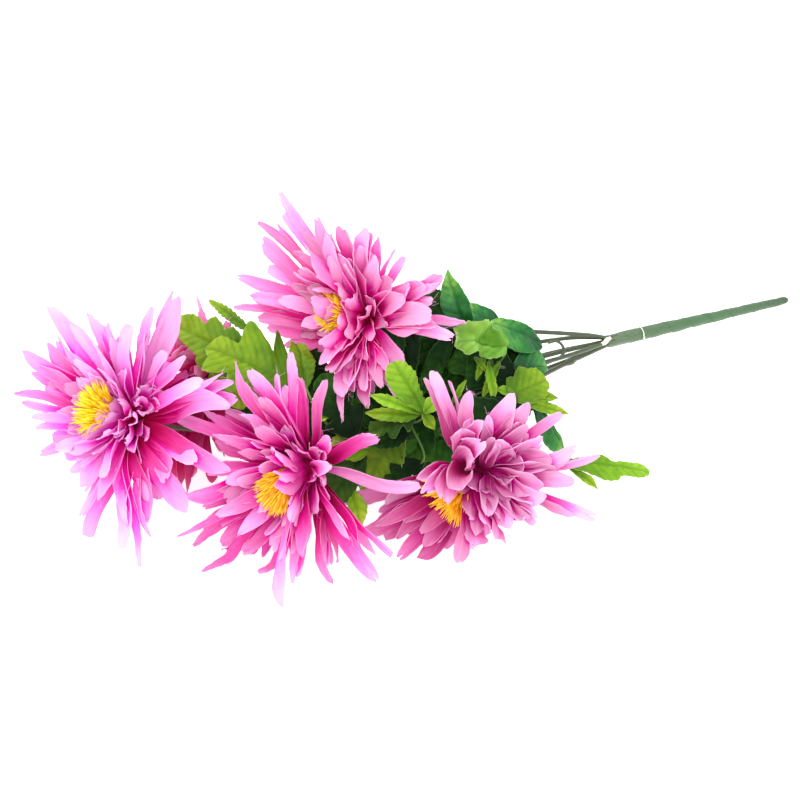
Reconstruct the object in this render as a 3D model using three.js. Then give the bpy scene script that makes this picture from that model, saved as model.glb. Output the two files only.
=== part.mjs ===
// An artificial chrysanthemum bunch, lying on its side on a table.
// Five fabric heads stand on coated wire stems, with fabric leaves between them, and the stems are
// gathered into one handle wound with florist's tape. Each head is built as the real one is: flat
// stars stamped from cloth, formed into cups and threaded on the stem's end, in front of a calyx.
//
// Units are millimetres. +X runs along the bunch to the handle's free end and +Z is up from the table.
// The bunch is laid out from the fork, where the stems leave the tape, and is moved at the end so that
// the origin lies on the table under the middle of its box.
import * as THREE from 'three';

// ---------------------------------------------------------------- driving dimensions
const FORK = [0, 0, 30];            // where the stems leave the tape
const HANDLE_END = [151, -4, 2.4];  // middle of the handle's free end, resting on the table
const WRAP_RADII = [4.1, 4.2, 3.9, 3.5, 3.1, 2.9, 2.3]; // along the tape, from the fork to the free end
const WRAP_WALL = 0.9;              // tape and glue
const WRAP_SIDES = 12;
const CLEAR = 0.3;                  // gap kept between pieces that touch

const STEM_RADIUS = 1.3;
const STEM_PITCH = 3.1;             // the stems' spacing where they enter the tape
const STEM_SPREAD = 15;             // how far they are bent apart past the fork
const STEM_SIDES = 7;
const STEM_STEPS = 13;

const TIE = { along: 27, thick: 0.5, sides: 5, steps: 16 }; // a turn of thread round the tape
const SCRAP = { size: [9, 3.4, 0.5], at: [-4.5, -5.5, 6.3], turn: [45, 8, 0] }; // a loose end of pale tape

const CLOTH = 0.6;                  // stiffened cloth, with its glue
const TUFT = { base: 3.4, top: 13, crown: 9, start: 7, length: 21, dome: 2.5, sides: 14 };
const CALYX = { rim: 6.2, shoulder: 5, neck: 2.3, depth: 9, bend: 4, gap: 0.4, sides: 10 };

// Petal layers from the innermost to the outermost. Angles are in degrees from the head's axis:
// a petal leaves the hub at `leave` and has turned to `open` at its tip. `lean` is the layer's share
// of the head's lean: packing has pressed the petals open on one side and shut on the other.
const LAYERS = [
  { petals: 9, length: 28, width: 9, hub: 4.5, height: 6.0, leave: 42, open: 24, lean: 0.2 },
  { petals: 11, length: 42, width: 10, hub: 5.0, height: 4.5, leave: 55, open: 40, lean: 0.45 },
  { petals: 12, length: 56, width: 10.5, hub: 5.5, height: 3.0, leave: 66, open: 55, lean: 0.65 },
  { petals: 12, length: 69, width: 10, hub: 6.0, height: 1.5, leave: 78, open: 70, lean: 0.85 },
  { petals: 11, length: 80, width: 9, hub: 6.5, height: 0.0, leave: 86, open: 84, lean: 1 },
];
const PETAL_OUTLINE = [[0, 0.24], [0.36, 0.8], [0.74, 1]]; // [share of length, share of width]
const LENGTH_SPREAD = 0.08;         // petals of a layer differ by this share
const TILT_SPREAD = 2.5;            // and by this many degrees
const LAYER_TWIST = 0.37;           // each layer is turned from the next by this share of a petal
const SHORTEST_PETAL = 12;
const PETAL_BENDS = 6;              // straight stretches that stand for a petal's curve
const PETAL_STEP = 2;               // how finely a petal's room is felt out
const PETAL_ROOM = 1;               // kept between a petal and anything else

// Flower heads: `hub` is where the petals meet, `faces` the way the head looks and `scale` its size.
// The outer petals on the `pressed` side are bent back by `lean` degrees, and those opposite it are
// bent forward as much, as the table and the packing have left them.
const HEADS = [
  { name: 'left', hub: [-284, 56, 60], faces: [-0.80, 0.20, 0.57], scale: 1, layers: 5, turn: 0.1,
    pressed: [-0.3, -0.7, 0.4], lean: 22 },
  { name: 'front', hub: [-217, -21, 55], faces: [-0.97, -0.20, 0.05], scale: 1, layers: 5, turn: 0.7,
    pressed: [0, -0.35, 0.9], lean: 28 },
  { name: 'top', hub: [-150, 31, 92], faces: [-0.88, 0.21, 0.42], scale: 0.9, layers: 5, turn: 0.4,
    pressed: [0.2, -0.8, -0.6], lean: 34 },
  { name: 'right', hub: [-142, -72, 55], faces: [-0.90, -0.27, -0.33], scale: 0.94, layers: 5, turn: 0.9,
    pressed: [0.1, -0.3, 0.95], lean: 32 },
  { name: 'back', hub: [-219, 87, 46], faces: [-0.50, 0.85, 0.15], scale: 0.8, layers: 3, turn: 0.3,
    pressed: [0, 0.3, 0.9], lean: 14 },
];

// Stems: where each starts in the fork's hexagon, and how far it runs straight before it turns.
const STEMS = [
  { name: 'stem_centre', seat: null, to: 'left', lead: 110, follow: 60 },
  { name: 'stem_top', seat: 90, to: 'top', lead: 45, follow: 50 },
  { name: 'stem_back', seat: 30, to: 'back', lead: 60, follow: 50 },
  { name: 'stem_front', seat: 270, to: 'front', lead: 60, follow: 60 },
  { name: 'stem_right', seat: 210, to: 'right', lead: 110, follow: 44 },
  { name: 'stem_leaf_high', seat: 150, end: [-90, -10, 58], aim: [-0.8, 0.1, 0.5], lead: 40, follow: 20 },
  { name: 'stem_leaf_low', seat: 330, end: [-112, 26, 24], aim: [-1, 0.2, -0.1], lead: 40, follow: 30 },
];

// Leaves: the stalk's foot, the tip, the way the upper side looks, the blade's width and its arch.
const LEAVES = {
  leaf_lime_left: [[-212, 46, 86], [-246, 84, 92], [-0.4, -0.5, 0.7], 34, 4],
  leaf_lime_lobed: [[-186, 42, 79], [-236, 30, 87], [-0.3, -0.5, 0.8], 40, 5],
  leaf_narrow_back: [[-186, 92, 66], [-206, 128, 64], [-0.4, 0.1, 0.9], 14, 3],
  leaf_small_round: [[-172, 44, 68], [-198, 20, 74], [-0.5, -0.6, 0.6], 15, 2],
  leaf_behind_front: [[-186, 50, 56], [-226, 32, 62], [-0.4, -0.6, 0.6], 20, 3],
  leaf_bright_middle: [[-134, -30, 72], [-170, -12, 88], [-0.3, -0.6, 0.7], 34, 3],
  leaf_narrow_middle: [[-166, 14, 58], [-198, -4, 66], [-0.5, -0.6, 0.6], 14, 2],
  leaf_low_front: [[-160, -16, 40], [-206, -40, 30], [-0.2, -0.6, 0.8], 26, 3],
  leaf_dark_inner: [[-92, 14, 27], [-158, 40, 25], [-0.3, -0.7, 0.7], 50, 4],
  leaf_dark_low: [[-98, -14, 28], [-162, -20, 28], [-0.1, -0.6, 0.8], 42, 4],
  leaf_satin_tall: [[-98, 0, 83], [-108, 22, 114], [-0.6, -0.7, 0.2], 28, 4],
  leaf_pale_crumpled: [[-80, -16, 70], [-116, -2, 84], [-0.1, -0.6, 0.8], 28, 4],
  leaf_satin_broad: [[-46, 0, 54], [-88, 12, 72], [0.1, -0.5, 0.9], 36, 5],
  leaf_toothed_right: [[-76, -8, 60], [-74, -46, 50], [-0.1, -0.4, 0.9], 34, 3],
  leaf_round_right: [[-84, -24, 38], [-62, -54, 16], [0.1, -0.5, 0.8], 22, 3],
  leaf_long_right: [[-84, -58, 14], [-37, -92, 9], [0, -0.3, 1], 20, 3],
};
const SMOOTH_LEAVES = ['leaf_satin_tall', 'leaf_satin_broad', 'leaf_round_right']; // the rest are toothed
const DARK_LEAVES = [...SMOOTH_LEAVES, 'leaf_dark_inner', 'leaf_dark_low'];
const LEAF_STALK = { share: 0.16, half: 0.9 };
const LEAF_SHAPE = { belly: 0.75, fullness: 0.8 }; // powers that set where a blade is widest, and how full
const LEAF_TEETH = 5;
const TOOTH_DEPTH = 0.2;

// ---------------------------------------------------------------- materials
const finishes = {
  petal: { color: 0xe678cc, roughness: 0.75, metalness: 0 },
  stamen: { color: 0xf7b81c, roughness: 0.6, metalness: 0 },
  lime: { color: 0x7fae38, roughness: 0.7, metalness: 0 },
  satin: { color: 0x1f7a3e, roughness: 0.4, metalness: 0 },
  stem: { color: 0x5c6340, roughness: 0.5, metalness: 0 },
  tape: { color: 0x5f9468, roughness: 0.8, metalness: 0 },
  core: { color: 0x48502f, roughness: 0.6, metalness: 0 },
  thread: { color: 0xeef0da, roughness: 0.7, metalness: 0 },
};

const vec = (p) => new THREE.Vector3(...p);
const radians = THREE.MathUtils.degToRad;
const bunch = new THREE.Group();

function addPiece(name, geometry, finish) {
  const mesh = new THREE.Mesh(geometry, new THREE.MeshStandardMaterial(finishes[finish]));
  mesh.name = name;
  bunch.add(mesh);
  return mesh;
}

// Turns a flat plate's points into formed ones: place(x, y, z) gives each point's new position.
function form(geometry, place) {
  const points = geometry.attributes.position;
  for (let i = 0; i < points.count; i += 1) {
    const p = place(points.getX(i), points.getY(i), points.getZ(i));
    points.setXYZ(i, p.x, p.y, p.z);
  }
  geometry.computeVertexNormals();
  return geometry;
}

function stamp(outline, thick) {
  const shape = new THREE.Shape(outline.map(([x, y]) => new THREE.Vector2(x, y)));
  return new THREE.ExtrudeGeometry(shape, { depth: thick, bevelEnabled: false, steps: 1 });
}

// ---------------------------------------------------------------- handle
function buildHandle() {
  const start = vec(FORK);
  const end = vec(HANDLE_END);
  const length = start.distanceTo(end);
  const step = length / (WRAP_RADII.length - 1);
  const outer = WRAP_RADII.map((r, i) => new THREE.Vector2(r, i * step));
  const inner = WRAP_RADII.map((r, i) => new THREE.Vector2(r - WRAP_WALL, i * step)).reverse();
  const wrap = new THREE.LatheGeometry([...outer, ...inner, outer[0]], WRAP_SIDES);
  const rod = WRAP_RADII.map((r, i) => new THREE.Vector2(r - WRAP_WALL - CLEAR, i * step));
  const middle = (height) => new THREE.Vector2(0, height);
  const core = new THREE.LatheGeometry([middle(0), ...rod, middle(length)], WRAP_SIDES);
  const way = end.clone().sub(start).normalize();
  const lie = new THREE.Quaternion().setFromUnitVectors(new THREE.Vector3(0, 1, 0), way);
  for (const [name, shape, finish] of [['handle_wrap', wrap, 'tape'], ['handle_core', core, 'core']]) {
    const piece = addPiece(name, shape, finish);
    piece.quaternion.copy(lie);
    piece.position.copy(start);
  }
  const wrapAtTie = THREE.MathUtils.lerp(WRAP_RADII[1], WRAP_RADII[2], TIE.along / step - 1);
  const loop = wrapAtTie + CLEAR + TIE.thick;
  const thread = new THREE.TorusGeometry(loop, TIE.thick, TIE.sides, TIE.steps);
  const ring = addPiece('tie_ring', thread, 'thread');
  ring.quaternion.setFromUnitVectors(new THREE.Vector3(0, 0, 1), way);
  ring.position.copy(start).lerp(end, TIE.along / length);
  const scrap = addPiece('glue_scrap', new THREE.BoxGeometry(...SCRAP.size), 'thread');
  scrap.position.copy(start).add(vec(SCRAP.at));
  scrap.rotation.set(...SCRAP.turn.map(radians));
}

// ---------------------------------------------------------------- stems
function headFrame(head) {
  const axis = vec(head.faces).normalize();
  const side = new THREE.Vector3(0, 0, 1).cross(axis).normalize();
  const rise = axis.clone().cross(side);
  return { hub: vec(head.hub), axis, side, rise };
}

function stemRoute(stem) {
  const along = vec(FORK).sub(vec(HANDLE_END)).normalize();
  const side = new THREE.Vector3(0, 0, 1).cross(along).negate().normalize();
  const rise = side.clone().cross(along);
  const outward = new THREE.Vector3();
  if (stem.seat !== null) {
    const seat = radians(stem.seat);
    outward.addScaledVector(side, Math.cos(seat)).addScaledVector(rise, Math.sin(seat));
  }
  const start = vec(FORK).addScaledVector(along, CLEAR).addScaledVector(outward, STEM_PITCH);
  const head = HEADS.find((h) => h.name === stem.to);
  const aim = head ? headFrame(head).axis : vec(stem.aim).normalize();
  const end = head ? vec(head.hub).addScaledVector(aim, -(CALYX.depth + 2 * CALYX.gap)) : vec(stem.end);
  const first = start.clone().addScaledVector(along, stem.lead).addScaledVector(outward, STEM_SPREAD);
  const last = end.clone().addScaledVector(aim, -stem.follow);
  return new THREE.CubicBezierCurve3(start, first, last, end);
}

function buildStem(stem) {
  const ring = new THREE.Shape();
  ring.absarc(0, 0, STEM_RADIUS, 0, 2 * Math.PI, false);
  const shape = new THREE.Shape(ring.getPoints(STEM_SIDES).slice(0, STEM_SIDES));
  const options = { steps: STEM_STEPS, bevelEnabled: false, extrudePath: stemRoute(stem) };
  addPiece(stem.name, new THREE.ExtrudeGeometry(shape, options), 'stem');
}

// ---------------------------------------------------------------- leaves
const leaves = Object.entries(LEAVES).map(([name, [foot, tip, up, width, arch]]) => (
  { name, foot, tip, up, width, arch, smooth: SMOOTH_LEAVES.includes(name) }
));

function leafPoint(leaf, along, across, lift) {
  const foot = vec(leaf.foot);
  const run = vec(leaf.tip).sub(foot);
  const share = along / run.length();
  const way = run.clone().normalize();
  const up = vec(leaf.up);
  up.addScaledVector(way, -up.dot(way)).normalize();
  const side = up.clone().cross(way);
  const arch = leaf.arch * 4 * share * (1 - share);
  return foot.addScaledVector(way, along).addScaledVector(side, across).addScaledVector(up, arch + lift);
}

function leafLength(leaf) {
  return vec(leaf.foot).distanceTo(vec(leaf.tip));
}

// Half the blade's width at a share of its length, 0 at the stalk's end and at the tip.
function bladeHalf(leaf, share) {
  return (leaf.width / 2) * Math.sin(Math.PI * share ** LEAF_SHAPE.belly) ** LEAF_SHAPE.fullness;
}

function leafOutline(leaf) {
  const length = leafLength(leaf);
  const stalk = LEAF_STALK.share * length;
  const side = [];
  const stations = leaf.smooth ? LEAF_TEETH : 2 * LEAF_TEETH;
  for (let i = 1; i < stations; i += 1) {
    const share = i / stations;
    const notch = leaf.smooth || i % 2 ? 1 : 1 - TOOTH_DEPTH;
    side.push([stalk + share * (length - stalk), bladeHalf(leaf, share) * notch]);
  }
  const upper = [[0, LEAF_STALK.half], [stalk, LEAF_STALK.half], ...side];
  const lower = upper.map(([x, y]) => [x, -y]).reverse();
  return [...upper, [length, 0], ...lower];
}

function buildLeaf(leaf) {
  const outline = leafOutline(leaf);
  const blade = form(stamp(outline, CLOTH), (x, y, z) => leafPoint(leaf, x, y, z));
  addPiece(leaf.name, blade, DARK_LEAVES.includes(leaf.name) ? 'satin' : 'lime');
}

// ---------------------------------------------------------------- what petals have to stay clear of
const SAMPLES = { stem: 40, leaf: 8, across: [-0.9, -0.45, 0, 0.45, 0.9], leafRoom: 1 / 12 };

const obstacles = [];
for (const stem of STEMS) {
  for (const p of stemRoute(stem).getPoints(SAMPLES.stem)) obstacles.push({ p, room: STEM_RADIUS });
}
for (const leaf of leaves) {
  for (let i = 0; i <= SAMPLES.leaf; i += 1) {
    const share = i / SAMPLES.leaf;
    const half = bladeHalf(leaf, Math.max(0, (share - LEAF_STALK.share) / (1 - LEAF_STALK.share)));
    for (const across of SAMPLES.across) {
      const p = leafPoint(leaf, share * leafLength(leaf), across * half, 0);
      obstacles.push({ p, room: leaf.width * SAMPLES.leafRoom });
    }
  }
}

// ---------------------------------------------------------------- petals
function petalPoint(head, layer, turn, tiltBy, along, across, lift) {
  const frame = headFrame(head);
  const s = head.scale;
  const reach = Math.max(0, along - layer.hub);
  let radius = Math.min(along, layer.hub);
  let height = layer.height;
  let angle = radians(90);
  for (let i = 0; i < PETAL_BENDS && reach > 0; i += 1) {
    const share = ((i + 0.5) / PETAL_BENDS) * (reach / layer.length);
    angle = radians(THREE.MathUtils.lerp(layer.leave, layer.open + tiltBy, Math.min(1, share)));
    radius += Math.sin(angle) * (reach / PETAL_BENDS);
    height += Math.cos(angle) * (reach / PETAL_BENDS);
  }
  const out = frame.side.clone().multiplyScalar(Math.cos(turn)).addScaledVector(frame.rise, Math.sin(turn));
  const across3 = frame.axis.clone().cross(out);
  const face = frame.axis.clone().multiplyScalar(Math.sin(angle)).addScaledVector(out, -Math.cos(angle));
  return frame.hub.addScaledVector(out, radius * s).addScaledVector(frame.axis, height * s)
    .addScaledVector(across3, across * s).addScaledVector(face, lift);
}

// 1 for a petal on the side that packing pressed back, -1 for one opposite it.
function pressedShare(head, turn) {
  const { side, rise } = headFrame(head);
  const out = side.multiplyScalar(Math.cos(turn)).addScaledVector(rise, Math.sin(turn));
  const pressed = vec(head.pressed).projectOnPlane(vec(head.faces).normalize()).normalize();
  return out.dot(pressed);
}

function isClear(head, layer, turn, tiltBy, along) {
  const half = (layer.width / 2) * head.scale;
  const middle = petalPoint(head, layer, turn, tiltBy, along, 0, 0);
  const edges = [-1, 1].map((k) => petalPoint(head, layer, turn, tiltBy, along, (k * layer.width) / 2, 0));
  if (Math.min(...edges.map((p) => p.z)) < CLOTH) return false;
  for (const other of HEADS) {
    if (other === head) continue;
    const gap = vec(other.hub).sub(vec(head.hub));
    const far = middle.clone().sub(vec(head.hub)).dot(gap) / gap.length();
    const wide = Math.abs(edges[0].clone().sub(edges[1]).dot(gap)) / gap.length() / 2;
    const fence = (gap.length() * head.scale) / (head.scale + other.scale);
    if (far + wide > fence - PETAL_ROOM) return false;
  }
  return obstacles.every(({ p, room }) => p.distanceTo(middle) > half + room + PETAL_ROOM);
}

function petalLength(head, layer, turn, tiltBy, spread) {
  const longest = layer.length * spread;
  let length = SHORTEST_PETAL - PETAL_STEP;
  const hasRoom = (next) => isClear(head, layer, turn, tiltBy, layer.hub + next);
  while (length + PETAL_STEP <= longest && hasRoom(length + PETAL_STEP)) length += PETAL_STEP;
  return length;
}

// One stamped star: its outline runs round the hub and out along each petal that has room.
function buildLayer(head, layer, index) {
  const step = (2 * Math.PI) / layer.petals;
  const petals = [];
  for (let i = 0; i < layer.petals; i += 1) {
    // The sines stand for hand forming: no two petals come out quite alike.
    const turn = (i + head.turn + index * LAYER_TWIST) * step;
    const pressed = layer.lean * head.lean * pressedShare(head, turn);
    const tiltBy = TILT_SPREAD * Math.sin(5 * i + 2 * index) + pressed;
    const spread = 1 + LENGTH_SPREAD * Math.sin(3 * i + index + 9 * head.turn);
    petals.push({ turn, tiltBy, length: petalLength(head, layer, turn, tiltBy, spread) });
  }
  const outline = [];
  for (const petal of petals) {
    const point = (along, across) => [
      Math.cos(petal.turn) * along - Math.sin(petal.turn) * across,
      Math.sin(petal.turn) * along + Math.cos(petal.turn) * across,
    ];
    const half = layer.width / 2;
    const stations = petal.length < SHORTEST_PETAL ? PETAL_OUTLINE.slice(0, 1) : PETAL_OUTLINE;
    const near = stations.map(([t, w]) => point(layer.hub + t * petal.length, -w * half));
    const far = stations.map(([t, w]) => point(layer.hub + t * petal.length, w * half)).reverse();
    const tip = petal.length < SHORTEST_PETAL ? [] : [point(layer.hub + petal.length, 0)];
    outline.push(...near, ...tip, ...far);
  }
  const place = (x, y, z) => {
    const nearest = petals.reduce((best, petal) => {
      const along = x * Math.cos(petal.turn) + y * Math.sin(petal.turn);
      return !best || along > best.along ? { petal, along } : best;
    }, null);
    const { petal, along } = nearest;
    const across = y * Math.cos(petal.turn) - x * Math.sin(petal.turn);
    return petalPoint(head, layer, petal.turn, petal.tiltBy, along, across, z);
  };
  addPiece(`${head.name}_petals_${index + 1}`, form(stamp(outline, CLOTH), place), 'petal');
}

function turned(head, profile, segments) {
  const frame = headFrame(head);
  const shape = new THREE.LatheGeometry(profile.map(([r, h]) => new THREE.Vector2(r, h)), segments);
  const stand = new THREE.Quaternion().setFromUnitVectors(new THREE.Vector3(0, 1, 0), frame.axis);
  shape.applyQuaternion(stand);
  shape.translate(frame.hub.x, frame.hub.y, frame.hub.z);
  return shape;
}

function buildHead(head) {
  const back = -CALYX.gap;
  const calyx = [[0, back - CALYX.depth], [CALYX.neck, back - CALYX.depth],
    [CALYX.shoulder, back - CALYX.bend], [CALYX.rim, back], [0, back]];
  addPiece(`${head.name}_calyx`, turned(head, calyx, CALYX.sides), 'lime');
  const s = head.scale;
  const top = TUFT.start + TUFT.length;
  const tuft = [[0, TUFT.start], [TUFT.base, TUFT.start], [TUFT.top, top - 1], [TUFT.crown, top + 1],
    [0, top + TUFT.dome]].map(([r, h]) => [r * s, h * s]);
  addPiece(`${head.name}_stamens`, turned(head, tuft, TUFT.sides), 'stamen');
  const used = LAYERS.filter((_, i) => head.layers === LAYERS.length || i % 2 === 0);
  used.forEach((layer, i) => buildLayer(head, layer, i));
}

// ---------------------------------------------------------------- the whole bunch
buildHandle();
STEMS.forEach(buildStem);
HEADS.forEach(buildHead);
leaves.forEach(buildLeaf);

const model = new THREE.Group();
bunch.updateMatrixWorld(true);
const box = new THREE.Box3().setFromObject(bunch, true);
const middle = box.getCenter(new THREE.Vector3());
bunch.position.set(-middle.x, -middle.y, -box.min.z);
model.add(bunch);
model.updateMatrixWorld(true);

export default model;
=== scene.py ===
import math
import random

import bpy
from mathutils import Matrix, Vector, noise


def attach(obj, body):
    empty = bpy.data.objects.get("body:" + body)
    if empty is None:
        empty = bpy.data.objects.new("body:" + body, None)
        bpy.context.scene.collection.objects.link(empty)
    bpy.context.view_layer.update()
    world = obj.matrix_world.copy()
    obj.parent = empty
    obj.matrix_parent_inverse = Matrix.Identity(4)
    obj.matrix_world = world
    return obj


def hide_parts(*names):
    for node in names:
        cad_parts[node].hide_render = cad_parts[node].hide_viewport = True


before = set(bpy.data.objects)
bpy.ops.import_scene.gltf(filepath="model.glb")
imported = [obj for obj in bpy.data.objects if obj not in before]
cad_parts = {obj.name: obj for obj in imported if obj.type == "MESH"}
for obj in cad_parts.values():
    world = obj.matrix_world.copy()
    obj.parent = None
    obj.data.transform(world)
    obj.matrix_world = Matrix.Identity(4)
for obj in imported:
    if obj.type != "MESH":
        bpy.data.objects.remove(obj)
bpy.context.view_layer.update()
mm = 0.001
upward = Vector((0, 0, 1))
print("frame loaded:", len(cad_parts), "nodes")


# Reading places from the frame

def pointsOf(node):
    spots = {tuple(round(c, 6) for c in v.co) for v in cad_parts[node].data.vertices}
    return [Vector(spot) for spot in sorted(spots)]


def middleOf(points):
    return sum(points, Vector()) / len(points)


def farthestPair(points):
    return max(((p, q) for p in points for q in points), key=lambda pair: (pair[0] - pair[1]).length)


def smooth(t):
    t = min(1.0, max(0.0, t))
    return t * t * (3 - 2 * t)


def mix(a, b, t):
    return a + (b - a) * t


# A rounded bump: 1 where the value is 0, fading to nothing beyond the width.
def bell(value, width):
    return math.exp(-((value / width) ** 2))


# A direction at an angle round the circle of two others.
def circling(right, top, angle):
    return right * math.cos(angle) + top * math.sin(angle)


# What is left of a direction without its part along another.
def squareTo(way, other):
    return other - way * other.dot(way)


# The handle's own line, from the fork to the tip, read from the ends of the tape's node.
handleEnd = 6 * mm


def handleLine():
    points = pointsOf("handle_wrap")
    low = min(p.x for p in points)
    high = max(p.x for p in points)
    start = middleOf([p for p in points if p.x < low + handleEnd])
    end = middleOf([p for p in points if p.x > high - handleEnd])
    return start, end


fork, handleTip = handleLine()
handleWay = (handleTip - fork).normalized()
handleLength = (handleTip - fork).length
print("places read: fork", [round(c, 4) for c in fork], "handle", round(handleLength, 4))

# The camera, and what it sees: some petals are placed by where they show in its picture.

cameraPlace = {"azimuth": -32, "elevation": 42, "distance": 950, "lens": 70, "aim": (-118.7, 46.2, -26.3)}
picture = {"size": 800, "sensor": 36}
focal = cameraPlace["lens"] / picture["sensor"] * picture["size"]


def cameraFrame():
    azimuth = math.radians(cameraPlace["azimuth"])
    elevation = math.radians(cameraPlace["elevation"])
    back = Vector((math.sin(azimuth) * math.cos(elevation), -math.cos(azimuth) * math.cos(elevation),
                   math.sin(elevation)))
    turned = back.to_track_quat("Z", "Y")
    eye = fork + Vector(cameraPlace["aim"]) * mm + back * cameraPlace["distance"] * mm
    return {"eye": eye, "turned": turned, "back": back, "right": turned @ Vector((1, 0, 0)),
            "up": turned @ Vector((0, 1, 0))}


view = cameraFrame()


def buildCamera():
    camera = bpy.data.objects.new("camera", bpy.data.cameras.new("camera"))
    camera.data.lens = cameraPlace["lens"]
    camera.data.sensor_width = picture["sensor"]
    camera.data.clip_end = 20
    camera.location = view["eye"]
    camera.rotation_euler = view["turned"].to_euler()
    bpy.context.scene.collection.objects.link(camera)
    bpy.context.scene.camera = camera


# The point that shows at a pixel and lies a length in mm away from a root: the nearer of the two, or
# the farther one where the length is negative.
def reachTo(root, x, y, length):
    middle = picture["size"] / 2
    way = (view["right"] * (x - middle) - view["up"] * (y - middle) - view["back"] * focal).normalized()
    gap = root - view["eye"]
    along = gap.dot(way)
    step = math.sqrt(max(0.0, (length * mm) ** 2 - gap.length_squared + along * along))
    return view["eye"] + way * (along - math.copysign(step, length))


# Where a point shows, in pixels from the picture's top left corner.
def pixelOf(point):
    gap = point - view["eye"]
    size = focal / -gap.dot(view["back"])
    spot = Vector((gap.dot(view["right"]) * size, -gap.dot(view["up"]) * size))
    return spot + Vector((1, 1)) * picture["size"] / 2


# Keeps cloth on top of the table: a point that would sink is eased up to just above it.
table = {"clear": 0.7 * mm, "ease": 1.6 * mm}


def onTable(point):
    ease = table["ease"]
    height = (point.z - table["clear"]) / ease
    if height < 12:
        point.z = table["clear"] + ease * math.log1p(math.exp(height))
    return point


# Piles: many small sheets or tubes that end up in one mesh

def newPile():
    return {key: [] for key in ("points", "faces", "flat", "along", "across", "vein", "tone", "grain")}


# What the materials read at a point: its place along and across, how near a vein, and its place on the
# flat cloth.
def addMark(pile, mark, tone):
    pile["along"].append(mark[0])
    pile["across"].append(mark[1])
    pile["vein"].append(mark[2])
    pile["grain"].append(Vector((mark[3], mark[4], 0)))
    pile["tone"].append(tone)


# A sheet of cloth from rows of points and their marks, with a real thickness. Its cut edge is shaded apart.
def addSheet(pile, cells, thick, tone):
    rows, columns = len(cells), len(cells[0])
    first = len(pile["points"])
    layer = rows * columns
    for side in (0.5, -0.5):
        for i, row in enumerate(cells):
            for j, (spot, mark) in enumerate(row):
                down = cells[min(i + 1, rows - 1)][j][0] - cells[max(i - 1, 0)][j][0]
                over = row[min(j + 1, columns - 1)][0] - row[max(j - 1, 0)][0]
                outward = down.cross(over).normalized()
                pile["points"].append(spot + outward * side * thick)
                addMark(pile, mark, tone)
    for i in range(rows - 1):
        for j in range(columns - 1):
            a = first + i * columns + j
            b, c, d = a + columns, a + columns + 1, a + 1
            pile["faces"].append((a, b, c, d))
            pile["faces"].append((a + layer, d + layer, c + layer, b + layer))
            pile["flat"].extend((False, False))
    border = [(i, 0) for i in range(rows - 1)]
    border += [(rows - 1, j) for j in range(columns - 1)]
    border += [(i, columns - 1) for i in range(rows - 1, 0, -1)]
    border += [(0, j) for j in range(columns - 1, 0, -1)]
    ring = [first + i * columns + j for i, j in border]
    for a, b in zip(ring, ring[1:] + ring[:1]):
        pile["faces"].append((b, a, a + layer, b + layer))
        pile["flat"].append(True)


# A round wire or thread along a path, closed at both ends.
def addTube(pile, path, radii, sides, tone, span=(0.0, 1.0)):
    first = len(pile["points"])
    count = len(path)
    way = (path[1] - path[0]).normalized()
    helper = upward if abs(way.z) < 0.9 else Vector((1, 0, 0))
    right = way.cross(helper).normalized()
    walked = 0.0
    for i, spot in enumerate(path):
        ahead = (path[min(i + 1, count - 1)] - path[max(i - 1, 0)]).normalized()
        right = squareTo(ahead, right).normalized()
        top = ahead.cross(right)
        if i:
            walked += (spot - path[i - 1]).length
        for k in range(sides):
            angle = 2 * math.pi * k / sides
            pile["points"].append(spot + circling(right, top, angle) * radii[i])
            along = mix(span[0], span[1], i / (count - 1))
            addMark(pile, (along, k / sides, 0.0, k / sides * 2 * math.pi * radii[i], walked), tone)
    for i in range(count - 1):
        for k in range(sides):
            a = first + i * sides + k
            b = first + i * sides + (k + 1) % sides
            pile["faces"].append((a, b, b + sides, a + sides))
            pile["flat"].append(False)
    last = first + (count - 1) * sides
    pile["faces"].append(tuple(first + k for k in reversed(range(sides))))
    pile["faces"].append(tuple(last + k for k in range(sides)))
    pile["flat"].extend((True, True))


def makePiece(name, pile, material, nodes=()):
    mesh = bpy.data.meshes.new(name)
    mesh.from_pydata(pile["points"], [], pile["faces"])
    mesh.polygons.foreach_set("use_smooth", [not flat for flat in pile["flat"]])
    for mark in ("along", "across", "vein", "tone"):
        mesh.attributes.new(mark, "FLOAT", "POINT").data.foreach_set("value", pile[mark])
    grain = mesh.attributes.new("grain", "FLOAT_VECTOR", "POINT")
    grain.data.foreach_set("vector", [c for spot in pile["grain"] for c in spot])
    mesh.materials.append(material)
    mesh.update()
    piece = bpy.data.objects.new(name, mesh)
    bpy.context.scene.collection.objects.link(piece)
    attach(piece, "root")
    if nodes:
        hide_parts(*nodes)


# Colours are written as they look on screen, 0 to 255.
def colour(red, green, blue):
    parts = [c / 255 for c in (red, green, blue)]
    return (*[c / 12.92 if c <= 0.04045 else ((c + 0.055) / 1.055) ** 2.4 for c in parts], 1)


# Materials

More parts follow.
